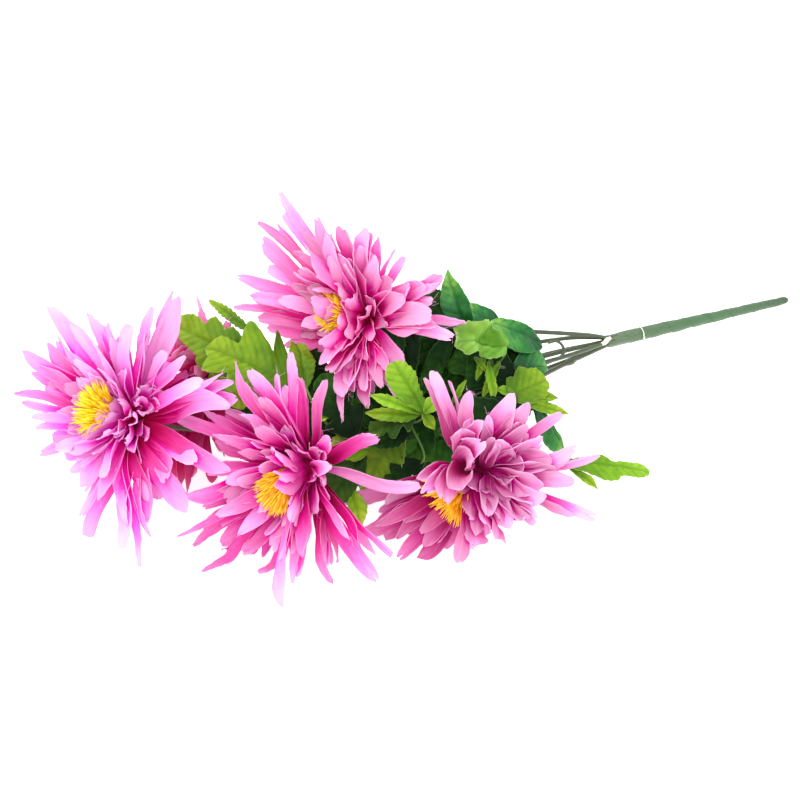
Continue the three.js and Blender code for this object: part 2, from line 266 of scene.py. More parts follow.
class Nodes:
    def __init__(self, name):
        self.material = bpy.data.materials.new(name)
        self.material.use_nodes = True
        self.tree = self.material.node_tree
        self.tree.nodes.clear()
        self.end = self.add("ShaderNodeOutputMaterial")

    def add(self, kind, inputs=None, **values):
        node = self.tree.nodes.new(kind)
        for key, value in values.items():
            setattr(node, key, value)
        for key, value in (inputs or {}).items():
            self.feed(node.inputs[key], value)
        return node

    def feed(self, socket, value):
        if isinstance(value, bpy.types.NodeSocket):
            self.tree.links.new(value, socket)
        else:
            socket.default_value = value

    def mark(self, name, output="Fac"):
        return self.add("ShaderNodeAttribute", attribute_name=name).outputs[output]

    # The place on the flat cloth, then whatever else is asked for.
    def marks(self, *names):
        return [self.mark("grain", "Vector")] + [self.mark(name) for name in names]

    def math(self, operation, a, b=0.0):
        return self.add("ShaderNodeMath", {0: a, 1: b}, operation=operation).outputs[0]

    def span(self, value, low, high, start=0.0, stop=1.0):
        inputs = {"Value": value, "From Min": low, "From Max": high, "To Min": start, "To Max": stop}
        return self.add("ShaderNodeMapRange", inputs).outputs[0]

    # Turns a span of values into a shift of as much down as up.
    def shift(self, value, low, high, reach):
        return self.span(value, low, high, -reach, reach)

    def ramp(self, value, stops):
        node = self.add("ShaderNodeValToRGB", {"Fac": value})
        node.color_ramp.interpolation = "B_SPLINE"
        elements = node.color_ramp.elements
        while len(elements) < len(stops):
            elements.new(0.5)
        for element, (place, shade) in zip(elements, stops):
            element.position = place
            element.color = shade
        return node.outputs[0]

    def noise(self, vector, scale=1.0, detail=3.0):
        inputs = {"Vector": vector, "Scale": scale, "Detail": detail, "Roughness": 0.55}
        return self.add("ShaderNodeTexNoise", inputs).outputs[0]

    # Noise on the flat cloth, with a scale for its width and one for its length.
    def pattern(self, grain, scales, detail):
        stretched = self.add("ShaderNodeMapping", {"Vector": grain, "Scale": (*scales, 1)}).outputs[0]
        return self.noise(stretched, detail=detail)

    def blend(self, share, a, b):
        node = self.add("ShaderNodeMix", data_type="RGBA")
        self.feed(node.inputs[0], share)
        self.feed(node.inputs[6], a)
        self.feed(node.inputs[7], b)
        return node.outputs[2]

    def tint(self, shade, hue=0.5, saturation=1.0, value=1.0):
        inputs = {"Color": shade, "Hue": hue, "Saturation": saturation, "Value": value}
        return self.add("ShaderNodeHueSaturation", inputs).outputs[0]

    def bump(self, height, strength, distance, under=None):
        inputs = {"Height": height, "Strength": strength, "Distance": distance}
        if under:
            inputs["Normal"] = under
        return self.add("ShaderNodeBump", inputs).outputs[0]

    def finish(self, shader):
        self.feed(self.end.inputs["Surface"], shader)
        return self.material


# Woven stiffened cloth: threads crossing each other at a real pitch, on the flat cloth's own measure.
weave = {"pitch": 0.42 * mm, "depth": 0.05 * mm, "strength": 0.35}


def weaveHeight(nodes, grain):
    turns = 2 * math.pi / weave["pitch"]
    split = nodes.add("ShaderNodeSeparateXYZ", {"Vector": grain})
    warp = nodes.math("SINE", nodes.math("MULTIPLY", split.outputs[0], turns))
    weft = nodes.math("SINE", nodes.math("MULTIPLY", split.outputs[1], turns))
    return nodes.math("MULTIPLY", warp, weft)


# Thin cloth lets part of the light through, and the light takes on the dye.
def clothShader(nodes, dyed, rough, relief, finish, shine):
    inputs = {"Base Color": dyed, "Roughness": rough, "Normal": relief,
              "Sheen Weight": finish["sheen"], "Specular IOR Level": shine}
    cloth = nodes.add("ShaderNodeBsdfPrincipled", inputs)
    glow = nodes.add("ShaderNodeBsdfTranslucent", {"Color": nodes.tint(dyed, 0.5, *finish["glow"])})
    layers = {0: finish["through"], 1: cloth.outputs[0], 2: glow.outputs[0]}
    return nodes.finish(nodes.add("ShaderNodeMixShader", layers).outputs[0])


# A petal's cloth is dyed from its root outwards. The dye runs in streaks and the cut edge stays pale.
# Where petals crowd together and shade each other the colour is painted richer and warmer: painted shade,
# standing in for the light that bounces between the petals. Each grain is a pattern's scale along the
# cloth's width and length.
petalFinish = {
    "places": (0.0, 0.2, 0.45, 0.72, 1.0), "streak": 0.075, "blotch": 0.08, "toneShift": 0.1, "edge": 0.6,
    "edgeSpan": (0.86, 0.98), "edgeFrom": (0.15, 0.6), "edgePatches": (0.35, 0.6, 0.15, 1.0),
    "streakGrain": (900, 70), "blotchGrain": (160, 60), "creaseGrain": (1400, 60),
    "crevice": 9 * mm, "creviceSpan": (0.1, 0.7), "saturated": 1.8, "warmer": 0.508,
    "toneSpan": 0.12, "hues": (0.512, 0.492),
    "creased": 0.28, "creaseDepth": 0.5 * mm,
    "rough": (0.5, 0.75), "sheen": 0.04, "shine": 0.12, "through": 0.45, "glow": (1.15, 1.0),
}


def petalMaterial(name, dyes):
    nodes = Nodes(name)
    grain, along, across, tone = nodes.marks("along", "across", "tone")
    streaks = nodes.pattern(grain, petalFinish["streakGrain"], 4.0)
    blotch = nodes.pattern(grain, petalFinish["blotchGrain"], 2.0)
    shift = nodes.shift(streaks, 0.2, 0.8, petalFinish["streak"])
    shift = nodes.math("ADD", shift, nodes.shift(blotch, 0.2, 0.8, petalFinish["blotch"]))
    shift = nodes.math("ADD", shift, nodes.shift(tone, 0, 1, petalFinish["toneShift"]))
    dyed = nodes.ramp(nodes.math("ADD", along, shift), list(zip(petalFinish["places"], dyes["along"])))
    edge = nodes.span(nodes.math("ABSOLUTE", across), *petalFinish["edgeSpan"], 0, petalFinish["edge"])
    edge = nodes.math("MULTIPLY", edge, nodes.span(along, *petalFinish["edgeFrom"]))
    edge = nodes.math("MULTIPLY", edge, nodes.span(blotch, *petalFinish["edgePatches"]))
    dyed = nodes.blend(edge, dyed, dyes["edge"])
    # Painted shade: where an occlusion probe finds other petals close by, the dye is made more saturated and
    # warmer in hue.
    crevice = nodes.add("ShaderNodeAmbientOcclusion", {"Distance": petalFinish["crevice"]}, samples=4)
    paintedShade = nodes.span(crevice.outputs["AO"], *petalFinish["creviceSpan"], 1, 0)
    shadeRich = nodes.span(paintedShade, 0, 1, 1, petalFinish["saturated"])
    shadeWarm = nodes.span(paintedShade, 0, 1, 0.5, petalFinish["warmer"])
    dyed = nodes.tint(dyed, shadeWarm, shadeRich)
    light = nodes.span(tone, 0, 1, 1 - petalFinish["toneSpan"], 1 + petalFinish["toneSpan"] / 2)
    hue = nodes.span(tone, 0, 1, *petalFinish["hues"])
    dyed = nodes.tint(dyed, hue, 1.0, light)
    fine = nodes.bump(weaveHeight(nodes, grain), weave["strength"], weave["depth"])
    creases = nodes.pattern(grain, petalFinish["creaseGrain"], 3.0)
    relief = nodes.bump(creases, petalFinish["creased"], petalFinish["creaseDepth"], fine)
    rough = nodes.span(streaks, 0.2, 0.8, *petalFinish["rough"])
    return clothShader(nodes, dyed, rough, relief, petalFinish, petalFinish["shine"])


# Leaf cloth: painted shade darkens it in the pressed veins and leaves it paler on the rises between them; it
# is paler at the cut edge too.
leafFinish = {
    "places": (0.0, 0.35, 0.7, 1.0), "blotch": 0.3, "toneShift": 0.2, "vein": 0.42,
    "edge": 0.5, "edgeFrom": 0.93,
    "blotchGrain": (110, 110), "threadGrain": (2400, 160), "light": (0.82, 1.1), "threadLight": 0.05,
    "uneven": 0.25, "unevenDepth": 0.8 * mm,
    "rough": (0.4, 0.6), "sheen": 0.04, "through": 0.28, "glow": (1.1, 1.1),
}


def leafMaterial(name, dyes, rough, shine):
    nodes = Nodes(name)
    grain, along, across, vein, tone = nodes.marks("along", "across", "vein", "tone")
    blotch = nodes.pattern(grain, leafFinish["blotchGrain"], 4.0)
    threads = nodes.pattern(grain, leafFinish["threadGrain"], 2.0)
    shift = nodes.shift(blotch, 0.25, 0.75, leafFinish["blotch"])
    shift = nodes.math("ADD", shift, nodes.shift(tone, 0, 1, leafFinish["toneShift"]))
    dyed = nodes.ramp(nodes.math("ADD", along, shift), list(zip(leafFinish["places"], dyes["along"])))
    # Painted shade: towards the pressed veins the dye is blended into the darker vein colour.
    dyed = nodes.blend(nodes.span(vein, 0.0, 1.0, leafFinish["vein"], 0.0), dyed, dyes["vein"])
    edge = nodes.span(nodes.math("ABSOLUTE", across), leafFinish["edgeFrom"], 1.0, 0, leafFinish["edge"])
    dyed = nodes.blend(edge, dyed, dyes["edge"])
    light = nodes.span(tone, 0, 1, *leafFinish["light"])
    light = nodes.math("ADD", light, nodes.shift(threads, 0.3, 0.7, leafFinish["threadLight"]))
    dyed = nodes.tint(dyed, 0.5, 1.0, light)
    fine = nodes.bump(weaveHeight(nodes, grain), weave["strength"], weave["depth"])
    relief = nodes.bump(blotch, leafFinish["uneven"], leafFinish["unevenDepth"], fine)
    return clothShader(nodes, dyed, nodes.span(blotch, 0.3, 0.7, *rough), relief, leafFinish, shine)


# Threads and wires share one build: a colour along the length, with grain and bump.
threadFinish = {"grain": (900, 300), "toneShift": 0.15, "light": (0.82, 1.08), "relief": 0.4,
                "coatRough": 0.25}


def threadMaterial(name, shades, rough, speckle, bumpDepth, coat=0.0, sheen=0.0):
    nodes = Nodes(name)
    grain, along, tone = nodes.marks("along", "tone")
    grains = nodes.pattern(grain, threadFinish["grain"], 3.0)
    shift = nodes.shift(grains, 0.25, 0.75, speckle)
    shift = nodes.math("ADD", shift, nodes.shift(tone, 0, 1, threadFinish["toneShift"]))
    places = [i / (len(shades) - 1) for i in range(len(shades))]
    dyed = nodes.ramp(nodes.math("ADD", along, shift), list(zip(places, shades)))
    dyed = nodes.tint(dyed, 0.5, 1.0, nodes.span(tone, 0, 1, *threadFinish["light"]))
    relief = nodes.bump(grains, threadFinish["relief"], bumpDepth)
    inputs = {"Base Color": dyed, "Roughness": nodes.span(grains, 0.3, 0.7, *rough), "Normal": relief,
              "Coat Weight": coat, "Coat Roughness": threadFinish["coatRough"], "Sheen Weight": sheen}
    return nodes.finish(nodes.add("ShaderNodeBsdfPrincipled", inputs).outputs[0])


# Petals

# How petals are cut: a neck's share of the width, and where in its length a petal is full. Rows crowd
# towards the tip, and a hook bends the last of it.
petalCut = {"rows": 22, "columns": 8, "thick": 0.32 * mm, "neck": 0.36, "full": 0.45, "narrowed": 0.92,
            "crowd": 1.4, "hooked": 6}


def rowShares():
    rows = petalCut["rows"]
    return [1 - (1 - i / rows) ** petalCut["crowd"] for i in range(rows + 1)]


# A frame of places down the middle of a petal: spot, way, width's direction and the inner face.
def petalLine(head, petal):
    axis, side, rise = head["axis"], head["side"], head["rise"]
    line = []
    before = 0.0
    for t in rowShares():
        out = circling(side, rise, math.radians(petal["turn"] + petal["sway"] * t * t))
        opened = petal["tilt"] + petal["curl"] * (t - 0.5)
        angle = math.radians(opened + petal["hook"] * t ** petalCut["hooked"])
        way = out * math.sin(angle) + axis * math.cos(angle)
        if line:
            spot = line[-1][0] + way * (t - before) * petal["length"] * mm
        else:
            spot = head["hub"] + out * petal["radius"] * mm + axis * petal["height"] * mm
        before = t
        spin = Matrix.Rotation(math.radians(petal["roll"] + petal["twist"] * t), 3, way)
        face = axis * math.sin(angle) - out * math.cos(angle)
        line.append((spot, way, spin @ axis.cross(out), spin @ face))
    return line


# The same along a bent line from a root by a knee to a tip. Its face keeps to one side of the petal.
def bentLine(root, knee, tip, face, petal):
    line = []
    for t in rowShares():
        spot = root * (1 - t) ** 2 + knee * 2 * t * (1 - t) + tip * t * t
        way = ((knee - root) * (1 - t) + (tip - knee) * t).normalized()
        wide = face.cross(way).normalized()
        swing = math.sin(2 * math.pi * t) * (tip - root).length
        spot = spot + face * petal["bends"][0] * swing + wide * petal["bends"][1] * swing
        spin = Matrix.Rotation(math.radians(petal["roll"] + petal["twist"] * t), 3, way)
        line.append((spot, way, spin @ wide, spin @ way.cross(wide)))
    return line


# Half a petal's width: a narrow neck, straight sides, then a tip from pointed to blunt.
def petalHalf(petal, t):
    full = petalCut["full"] * (1 - petal["start"])
    swell = mix(petalCut["neck"], 1, smooth((t - petal["start"]) / full))
    past = max(0.0, (t - petal["taper"]) / (1 - petal["taper"]))
    narrow = (1 - petalCut["narrowed"] * past ** petal["tip"]) ** petal["blunt"]
    return petal["width"] / 2 * swell * narrow * mm


# A petal is cupped most at its root and creased down the middle. Further on it is rippled, and its edges
# are ruffled and ragged. Its end is torn. Waves are written as how fast they go along, and across.
petalForm = {"cup": 1.4, "cupFall": 0.8, "creaseFrom": 0.3, "creaseWidth": 0.3, "creaseFall": 0.6,
             "late": 0.35, "lateSpan": 0.5, "ripples": (9, 2), "ruffles": 30, "rags": (22, 3), "rag": 0.5,
             "end": 0.75, "notch": 0.25}


def addPetal(pile, line, petal):
    columns = petalCut["columns"]
    length = petal["length"] * mm
    ripples, skew = petalForm["ripples"]
    rags, ragsAcross = petalForm["rags"]
    cells = []
    for t, (spot, way, wide, face) in zip(rowShares(), line):
        half = petalHalf(petal, t)
        cup = petal["cup"] * (petalForm["cup"] - petalForm["cupFall"] * t)
        late = smooth((t - petalForm["late"]) / petalForm["lateSpan"])
        end = smooth((t - petalForm["end"]) / (1 - petalForm["end"]))
        dye = mix(petal["dyeStart"], petal["dyeEnd"], t)
        row = []
        for j in range(columns + 1):
            s = 2 * j / columns - 1
            spread = half * math.sin(cup * s) / cup
            lift = half * (1 - math.cos(cup * s)) / cup
            crease = petal["crease"] * mm * bell(s, petalForm["creaseWidth"])
            lift -= crease * smooth(t / petalForm["creaseFrom"]) * (1 - petalForm["creaseFall"] * t)
            lift += petal["ripple"] * mm * math.sin(petal["phase"] + ripples * t + skew * s) * late * s * s
            ruffle = math.sin(2 * petal["phase"] + petalForm["ruffles"] * t)
            lift += petal["ruffle"] * mm * ruffle * late * abs(s) ** 3
            torn = petal["fray"] * mm * petal["tears"][j] * end
            torn += petal["slant"] * half * s * end
            torn += petal["notch"] * length * bell(s - petal["split"], petalForm["notch"]) * end
            ragged = noise.noise(Vector((rags * t, ragsAcross * s, petal["phase"]))) * petalForm["rag"]
            ragged = ragged * petal["fray"] * mm * late * s
            place = onTable(spot + wide * (spread + ragged) + face * lift - way * torn)
            row.append((place, (dye, s, 0.0, spread, t * length)))
        cells.append(row)
    addSheet(pile, cells, petalCut["thick"], petal["tone"])


# Loose fibres at a petal's cut end.
fibres = {"share": 0.16, "count": (2, 4), "length": (2, 6), "thick": 0.06, "steps": 5, "sides": 3,
          "from": 0.25, "wide": 0.9, "high": 0.6}


def addFibres(pile, line, petal, chance):
    spot, way, wide, face = line[-2]
    for _ in range(chance.randint(*fibres["count"])):
        start = spot + wide * chance.uniform(-fibres["from"], fibres["from"]) * petal["width"] * mm
        ahead = way + wide * chance.uniform(-fibres["wide"], fibres["wide"])
        ahead = (ahead + face * chance.uniform(-fibres["high"], fibres["high"])).normalized()
        bend = (wide * chance.uniform(-1, 1) + face * chance.uniform(-1, 1)) * 0.5
        reach = chance.uniform(*fibres["length"]) * mm
        shares = [k / fibres["steps"] for k in range(fibres["steps"] + 1)]
        path = [onTable(start + (ahead * t + bend * t * t) * reach) for t in shares]
        addTube(pile, path, [fibres["thick"] * mm] * len(path), fibres["sides"], 1.0, span=(0.9, 1.0))


# The stamped stars, from the innermost to the outermost, each of two ranks. Tilt is a petal's mean angle
# from the head's axis and curl is how much it opens further from root to tip, in degrees.
layerKeys = ("petals", "length", "width", "radius", "height", "tilt", "curl", "lean")
petalLayers = [dict(zip(layerKeys, values)) for values in (
    (8, 26, 9, 3.2, 5.6, 32, -12, 0.3),
    (11, 37, 9.5, 3.8, 4.2, 42, -16, 0.55),
    (12, 48, 10, 4.3, 2.8, 57, -8, 0.75),
    (12, 58, 9.5, 4.8, 1.4, 71, 0, 0.9),
    (11, 65, 9, 5.2, 0.0, 84, 6, 1.0),
)]
# How the second rank differs from the first, and how far petals stray from their even places.
ranks = {"tilt": 5, "height": 0.5, "length": 0.94, "stagger": 0.5,
         "turns": 0.2, "tilts": 7, "curls": 14, "lengths": (0.84, 1.1), "widths": (0.8, 1.1)}

# What differs from head to head. curls is how many short curled petals grow in its heart, and thin how many
# petals of the ranks are left out. deepSide is the side of the picture on which the deep dye runs far out,
# a painted shade on the side of the head that lies in shade, and dyed is where in the dyes a petal on the lit
# side and one on the shaded side start. The pressed side's petals are bent back by lean. show is how far
# placed petals turn to the eye, and bare how many pixels a rank petal may reach where no placed one grows.
# flare and droop are the tuft's, in millimetres.
# Placed petals are those that the packing pulled out of the ranks: where the tip shows in the picture, the
# length from the hub, negative where the petal leans away, and the width, both in millimetres. A few also
# have a dye and a bow of their own. Their dye is partly the cloth's and partly painted light: deeper on
# petals that lie in shade, a painted shade, and paler where a petal shows lit, a painted highlight.
# No rank petal grows towards the pixels in gaps.
heads = {
    "left": {
        "seed": 3, "curls": 0.4, "deepSide": (1, 0.35), "dyed": (0.28, -0.2), "scale": 1.0,
        "layers": (0, 1, 2, 3, 4), "pressed": (-0.3, -0.7, 0.4), "lean": 24, "ruffle": 0.2, "fray": 1,
        "broad": 1, "show": (0.3, 0.9), "flare": 15, "droop": 0, "tuft": "yellow", "bare": 34,
        "thin": 0.0,
        "placed": [
            (51, 306, -86, 13), (88, 312, -72, 8), (107, 323, -64, 7), (131, 324, 62, 12),
            (152, 306, 72, 8), (181, 297, 80, 14, 0.8, 0.03), (173, 290, 80, 5), (22, 351, -80, 9),
            (13, 393, -75, 6), (31, 416, -64, 6), (21, 402, -68, 5), (35, 428, -62, 9), (40, 453, -62, 7),
            (51, 434, -52, 8), (65, 456, -52, 10), (74, 474, -52, 9), (79, 485, -52, 10), (83, 514, -66, 6),
            (86, 541, -77, 10), (125, 548, 78, 14), (127, 528, 66, 9), (140, 568, 90, 7), (151, 538, 74, 6),
            (150, 522, 66, 10), (187, 512, 70, 12), (149, 502, 54, 8), (140, 465, 32, 7),
            (231, 471, 76, 12, -0.25, 0.02), (227, 401, 66, 12, -0.15, 0.03), (222, 374, 68, 6, -0.1, 0.04),
            (234, 382, 72, 8, -0.1, 0.03), (238, 398, 70, 10, -0.2, 0.02), (186, 357, 56, 9),
            (197, 462, 54, 10, -0.3, 0.03), (107, 350, -48, 9), (146, 333, 56, 8), (121, 355, -42, 8),
            (124, 368, 36, 8), (167, 351, 52, 7), (149, 437, 26, 7), (119, 441, 22, 8),
            (95, 417, 30, 11, 0.3, 0.05), (86, 437, 34, 13, 0.3, 0.05), (103, 398, 26, 9, 0.3, 0.05),
            (46, 385, -58, 11), (74, 369, -50, 12), (64, 384, -44, 10), (57, 338, -70, 11),
            (47, 345, -70, 9), (62, 343, -62, 9), (97, 453, 32, 10), (71, 441, -42, 10), (99, 500, 56, 9),
            (113, 484, 44, 6), (100, 332, -58, 8), (118, 335, -54, 9), (90, 470, -46, 11),
            (104, 478, 46, 9), (30, 372, -74, 8), (38, 366, -66, 9), (111, 402, 24, 11, 0.3, 0.04),
            (104, 420, 24, 10, 0.3, 0.04), (118, 436, 22, 8, 0.2, 0.04), (143, 432, 22, 8),
            (134, 452, 28, 8), (138, 396, 24, 8), (160, 500, 50, 12), (168, 480, 50, 12),
            (188, 372, -46, 12, -0.5, 0.02), (212, 384, -62, 13, -0.45, 0.02),
            (206, 402, -60, 13, -0.5, 0.02), (198, 420, -57, 13, -0.5, 0.02),
            (188, 438, -54, 13, -0.45, 0.02), (178, 452, -52, 12, -0.4, 0.02),
            (198, 368, -56, 12, -0.4, 0.02), (186, 354, -52, 11, -0.2, 0.02),
            (214, 392, -66, 11, -0.2, 0.02), (210, 412, -64, 11, -0.3, 0.02),
        ],
        "gaps": ((190, 430), (196, 444), (180, 420)),
        "throats": [{
            "centre": (148, 398, 22), "dyeStart": -0.2, "tips": [
                (162, 390, 30, 9), (160, 407, 29, 9), (147, 414, 28, 9), (136, 403, 28, 9),
                (139, 386, 29, 9), (152, 382, 30, 9),
            ],
        }],
        "dyes": {
            "along": ((204, 0, 100), (240, 44, 168), (251, 132, 226), (253, 190, 247), (253, 226, 252)),
            "edge": (255, 232, 253),
        },
    },
    "front": {
        "seed": 8, "curls": 0.4, "deepSide": (1, 0.1), "dyed": (0.06, -0.2), "scale": 1.0,
        "layers": (0, 1, 2, 3, 4), "pressed": (0.0, -0.35, 0.9), "lean": 28, "ruffle": 0.25, "fray": 1,
        "broad": 1, "show": (0.2, 0.8), "flare": 12, "droop": 6, "tuft": "orange", "bare": 34,
        "thin": 0.1,
        "placed": [
            (235, 361, 78, 8), (249, 369, 70, 13), (261, 396, 56, 16), (278, 374, 62, 7), (291, 351, 72, 6),
            (297, 376, 58, 6), (326, 379, 58, 6, 0.3, 0.05), (379, 437, 54, 9), (331, 439, 32, 8),
            (420, 485, 74, 10, 0.8, -0.01), (316, 479, 20, 7), (361, 550, 66, 7), (392, 556, 78, 7),
            (378, 581, 86, 11), (333, 583, 76, 8), (283, 607, 90, 13), (267, 592, -82, 6),
            (260, 598, -86, 6), (205, 596, -100, 7), (192, 547, -86, 7), (177, 537, -92, 6),
            (182, 498, -82, 10), (203, 508, -72, 9), (205, 530, -78, 10), (221, 546, -76, 10),
            (225, 558, -80, 10), (248, 556, -70, 8), (223, 484, -60, 12), (228, 512, -62, 10),
            (246, 530, -58, 9), (205, 472, -68, 9), (227, 449, -58, 10), (225, 414, -64, 9),
            (237, 419, -58, 10), (176, 417, -86, 9), (200, 408, -78, 9), (259, 425, 44, 11),
            (271, 424, 38, 11), (265, 457, 36, 8), (275, 451, 36, 14), (277, 474, 36, 10),
            (279, 490, 38, 11), (289, 508, 36, 7), (293, 524, 44, 10), (303, 556, 60, 10),
            (291, 554, 60, 10), (269, 534, -52, 9), (280, 562, 64, 8), (262, 562, -68, 8),
            (238, 440, -50, 10), (247, 462, -44, 11), (214, 438, -66, 10), (257, 440, -40, 10),
            (258, 545, -62, 8), (240, 515, -54, 10), (350, 540, 62, 7), (298, 516, 34, 10),
            (290, 497, 30, 11), (288, 480, 26, 11), (286, 424, 34, 11), (296, 446, 24, 11),
            (322, 430, 24, 8), (318, 462, 18, 8), (330, 500, 34, 9), (318, 512, 36, 9),
        ],
        "dyes": {
            "along": ((170, 0, 80), (214, 10, 136), (240, 64, 184), (251, 150, 228), (253, 224, 252)),
            "edge": (254, 212, 242),
        },
    },
    "top": {
        "seed": 5, "curls": 0.15, "deepSide": (-0.6, 0.6), "dyed": (0.26, -0.2), "scale": 0.9,
        "layers": (0, 1, 2, 3, 4), "pressed": (0.2, -0.8, -0.6), "lean": 34, "ruffle": 0.5, "fray": 1,
        "broad": 1.15, "show": (0.7, 1.5), "flare": 12, "droop": 0, "tuft": "yellow", "bare": 34,
        "thin": 0.3,
        "placed": [
            (280, 192, -92, 7), (284, 213, -82, 9), (316, 216, 70, 8), (257, 222, -88, 6),
            (277, 223, -80, 5), (262, 242, -80, 10), (268, 267, -70, 8), (237, 277, -84, 8),
            (233, 307, -82, 5), (250, 297, -74, 8), (262, 304, -68, 10), (258, 319, -70, 11),
            (286, 277, -58, 13), (292, 293, -52, 12), (268, 330, -66, 15), (285, 347, -58, 13),
            (299, 336, -46, 10), (303, 242, 64, 14), (366, 227, 58, 13), (379, 237, 54, 7),
            (396, 249, 52, 4), (404, 256, 50, 6), (443, 275, 62, 8), (440, 284, 60, 7), (423, 283, 50, 12),
            (433, 302, 54, 8), (404, 295, 42, 15, 0.1, 0.12), (432, 315, 54, 13), (437, 325, 56, 10),
            (453, 338, 64, 8), (467, 323, 66, 5), (395, 343, -50, 6), (413, 339, -54, 7),
            (325, 316, 32, 15), (337, 286, 34, 12), (351, 340, 28, 13), (302, 322, -46, 13),
            (367, 361, 36, 9), (343, 397, 56, 11), (343, 423, 68, 8), (367, 409, 60, 10), (363, 391, 50, 6),
            (391, 373, 46, 8), (398, 397, 56, 8), (412, 370, -56, 11), (376, 386, -50, 13),
            (338, 371, 46, 10), (322, 346, 42, 10), (316, 350, -48, 9), (311, 300, 42, 12),
            (320, 262, -56, 11), (305, 270, -58, 10), (275, 258, -74, 9), (325, 232, 62, 9),
            (345, 262, 44, 11), (345, 312, 26, 14), (352, 296, 28, 12), (338, 326, 28, 13),
            (356, 330, 22, 12), (375, 334, 22, 11), (384, 318, 24, 12), (372, 298, 26, 11),
            (330, 360, 44, 13), (338, 372, 48, 14), (345, 385, 50, 13), (352, 392, 52, 12),
            (328, 372, 50, 9), (350, 370, 40, 14), (360, 380, 42, 12), (340, 352, 36, 14),
            (372, 380, 44, 12), (383, 388, 50, 9), (331, 233, 56, 13), (345, 229, 58, 14),
            (371, 232, 56, 11), (366, 248, 48, 14), (337, 252, 48, 15), (378, 262, 44, 12),
            (354, 262, 42, 15), (392, 280, 40, 13), (410, 286, 44, 10), (420, 330, 48, 11),
        ],
        "gaps": ((384, 338), (392, 346), (378, 332)),
        "dyes": {
            "along": ((204, 0, 92), (240, 34, 154), (251, 124, 210), (253, 184, 236), (252, 218, 244)),
            "edge": (255, 234, 251),
        },
    },
    "right": {
        "seed": 12, "curls": 0.0, "deepSide": (-0.35, 0.9), "dyed": (0.16, -0.3), "scale": 0.94,
        "layers": (0, 1, 2, 3, 4), "pressed": (0.1, -0.3, 0.95), "lean": 32, "ruffle": 0.6, "fray": 0.4,
        "broad": 1.3, "show": (0.6, 1.4), "flare": 20, "droop": 0, "tuft": "orange", "bare": 34,
        "thin": 0.7,
        "placed": [
            (424, 378, 66, 8), (434, 371, 68, 7), (472, 393, 50, 11), (512, 393, 54, 15, 0.15, 0.03),
            (527, 402, 54, 10), (562, 413, 62, 6), (529, 432, 42, 13), (534, 443, 42, 13),
            (576, 448, 62, 9), (599, 455, 72, 5), (544, 464, 46, 14, 0.5, 0.03), (556, 468, 52, 10),
            (574, 479, 60, 9), (596, 519, 76, 8), (574, 515, 64, 9), (537, 521, 52, 10), (505, 543, 52, 5),
            (480, 545, 50, 13), (508, 516, 38, 9), (527, 520, 48, 9), (532, 514, 48, 7), (490, 493, 28, 12),
            (508, 487, 30, 9), (475, 490, 26, 10), (469, 517, 38, 9), (497, 441, 36, 9), (486, 423, 38, 10),
            (470, 418, 40, 8), (488, 415, 44, 6), (343, 502, -82, 9), (382, 514, -66, 9, -0.2, 0.04),
            (371, 529, -74, 9, -0.4, 0.02), (361, 536, -80, 9, -0.5, 0.02), (384, 538, -70, 9, -0.5, 0.02),
            (398, 560, -72, 11, -0.5, 0.02), (409, 535, -56, 9, -0.4, 0.02), (417, 562, -68, 9, -0.5, 0.02),
            (433, 541, -52, 10, -0.4, 0.03), (432, 555, -60, 8, -0.5, 0.02), (459, 563, 60, 9, -0.1, 0.03),
            (374, 525, -62, 9, -0.3, 0.04), (388, 516, -54, 9, -0.3, 0.04), (404, 522, -50, 9, -0.3, 0.05),
            (396, 538, -60, 9, -0.4, 0.03), (420, 532, -46, 9, -0.3, 0.05), (424, 547, -54, 9, -0.5, 0.03),
            (446, 549, -52, 10, -0.4, 0.03), (471, 543, 48, 9), (479, 534, 44, 10), (545, 500, 54, 12),
            (498, 540, 50, 9), (403, 505, -56, 9, -0.2, 0.04), (390, 497, -66, 10, -0.1, 0.04),
            (500, 520, 42, 11), (488, 525, 42, 11),
        ],
        "throats": [
            {
                "centre": (450, 459, 32), "tips": [
                    (463, 428, 48, 12), (479, 420, 50, 11), (481, 440, 46, 13), (474, 459, 42, 13),
                    (462, 490, 46, 15), (444, 501, 48, 13), (424, 494, 50, 12), (419, 480, 50, 9),
                ],
            }, {
                "centre": (492, 468, 18), "dyeStart": 0.0, "tips": [
                    (522, 422, 44, 15), (543, 440, 48, 16), (552, 462, 50, 18), (543, 487, 50, 15),
                    (535, 506, 48, 13), (521, 521, 46, 13), (505, 528, 44, 13), (488, 516, 40, 12),
                    (512, 496, 34, 15), (524, 468, 36, 18), (508, 443, 34, 16),
                ],
            },
        ],
        "dyes": {
            "along": ((156, 0, 82), (196, 16, 126), (224, 92, 174), (241, 168, 222), (254, 226, 250)),
            "edge": (255, 230, 247),
        },
    },
    "back": {
        "seed": 21, "curls": 0.3, "deepSide": (0, 1), "dyed": (0.2, -0.6), "scale": 0.8,
        "layers": (0, 2, 4), "pressed": (0.0, 0.3, 0.9), "lean": 14, "ruffle": 0.3, "fray": 1,
        "broad": 1.1, "show": (0.3, 1.0), "flare": 12, "droop": 0, "tuft": "orange", "bare": 46,
        "thin": 0.1,
        "placed": [
            (197, 297, -56, 9, 1.4, 0.03), (239, 344, 40, 7, 0.9, 0.03), (168, 345, 46, 14, 0.15, 0.03),
            (185, 350, 40, 12, 0.3, 0.03), (164, 352, 44, 12, 0.1, 0.03), (190, 374, 30, 12, -0.2, 0.03),
            (176, 338, 44, 12, 0.3, 0.03), (180, 360, 40, 13, 0.1, 0.03), (170, 356, 48, 12, 0.2, 0.03),
            (180, 378, 30, 12, -0.3, 0.03), (160, 474, 70, 14), (170, 484, 74, 14), (184, 472, 66, 14),
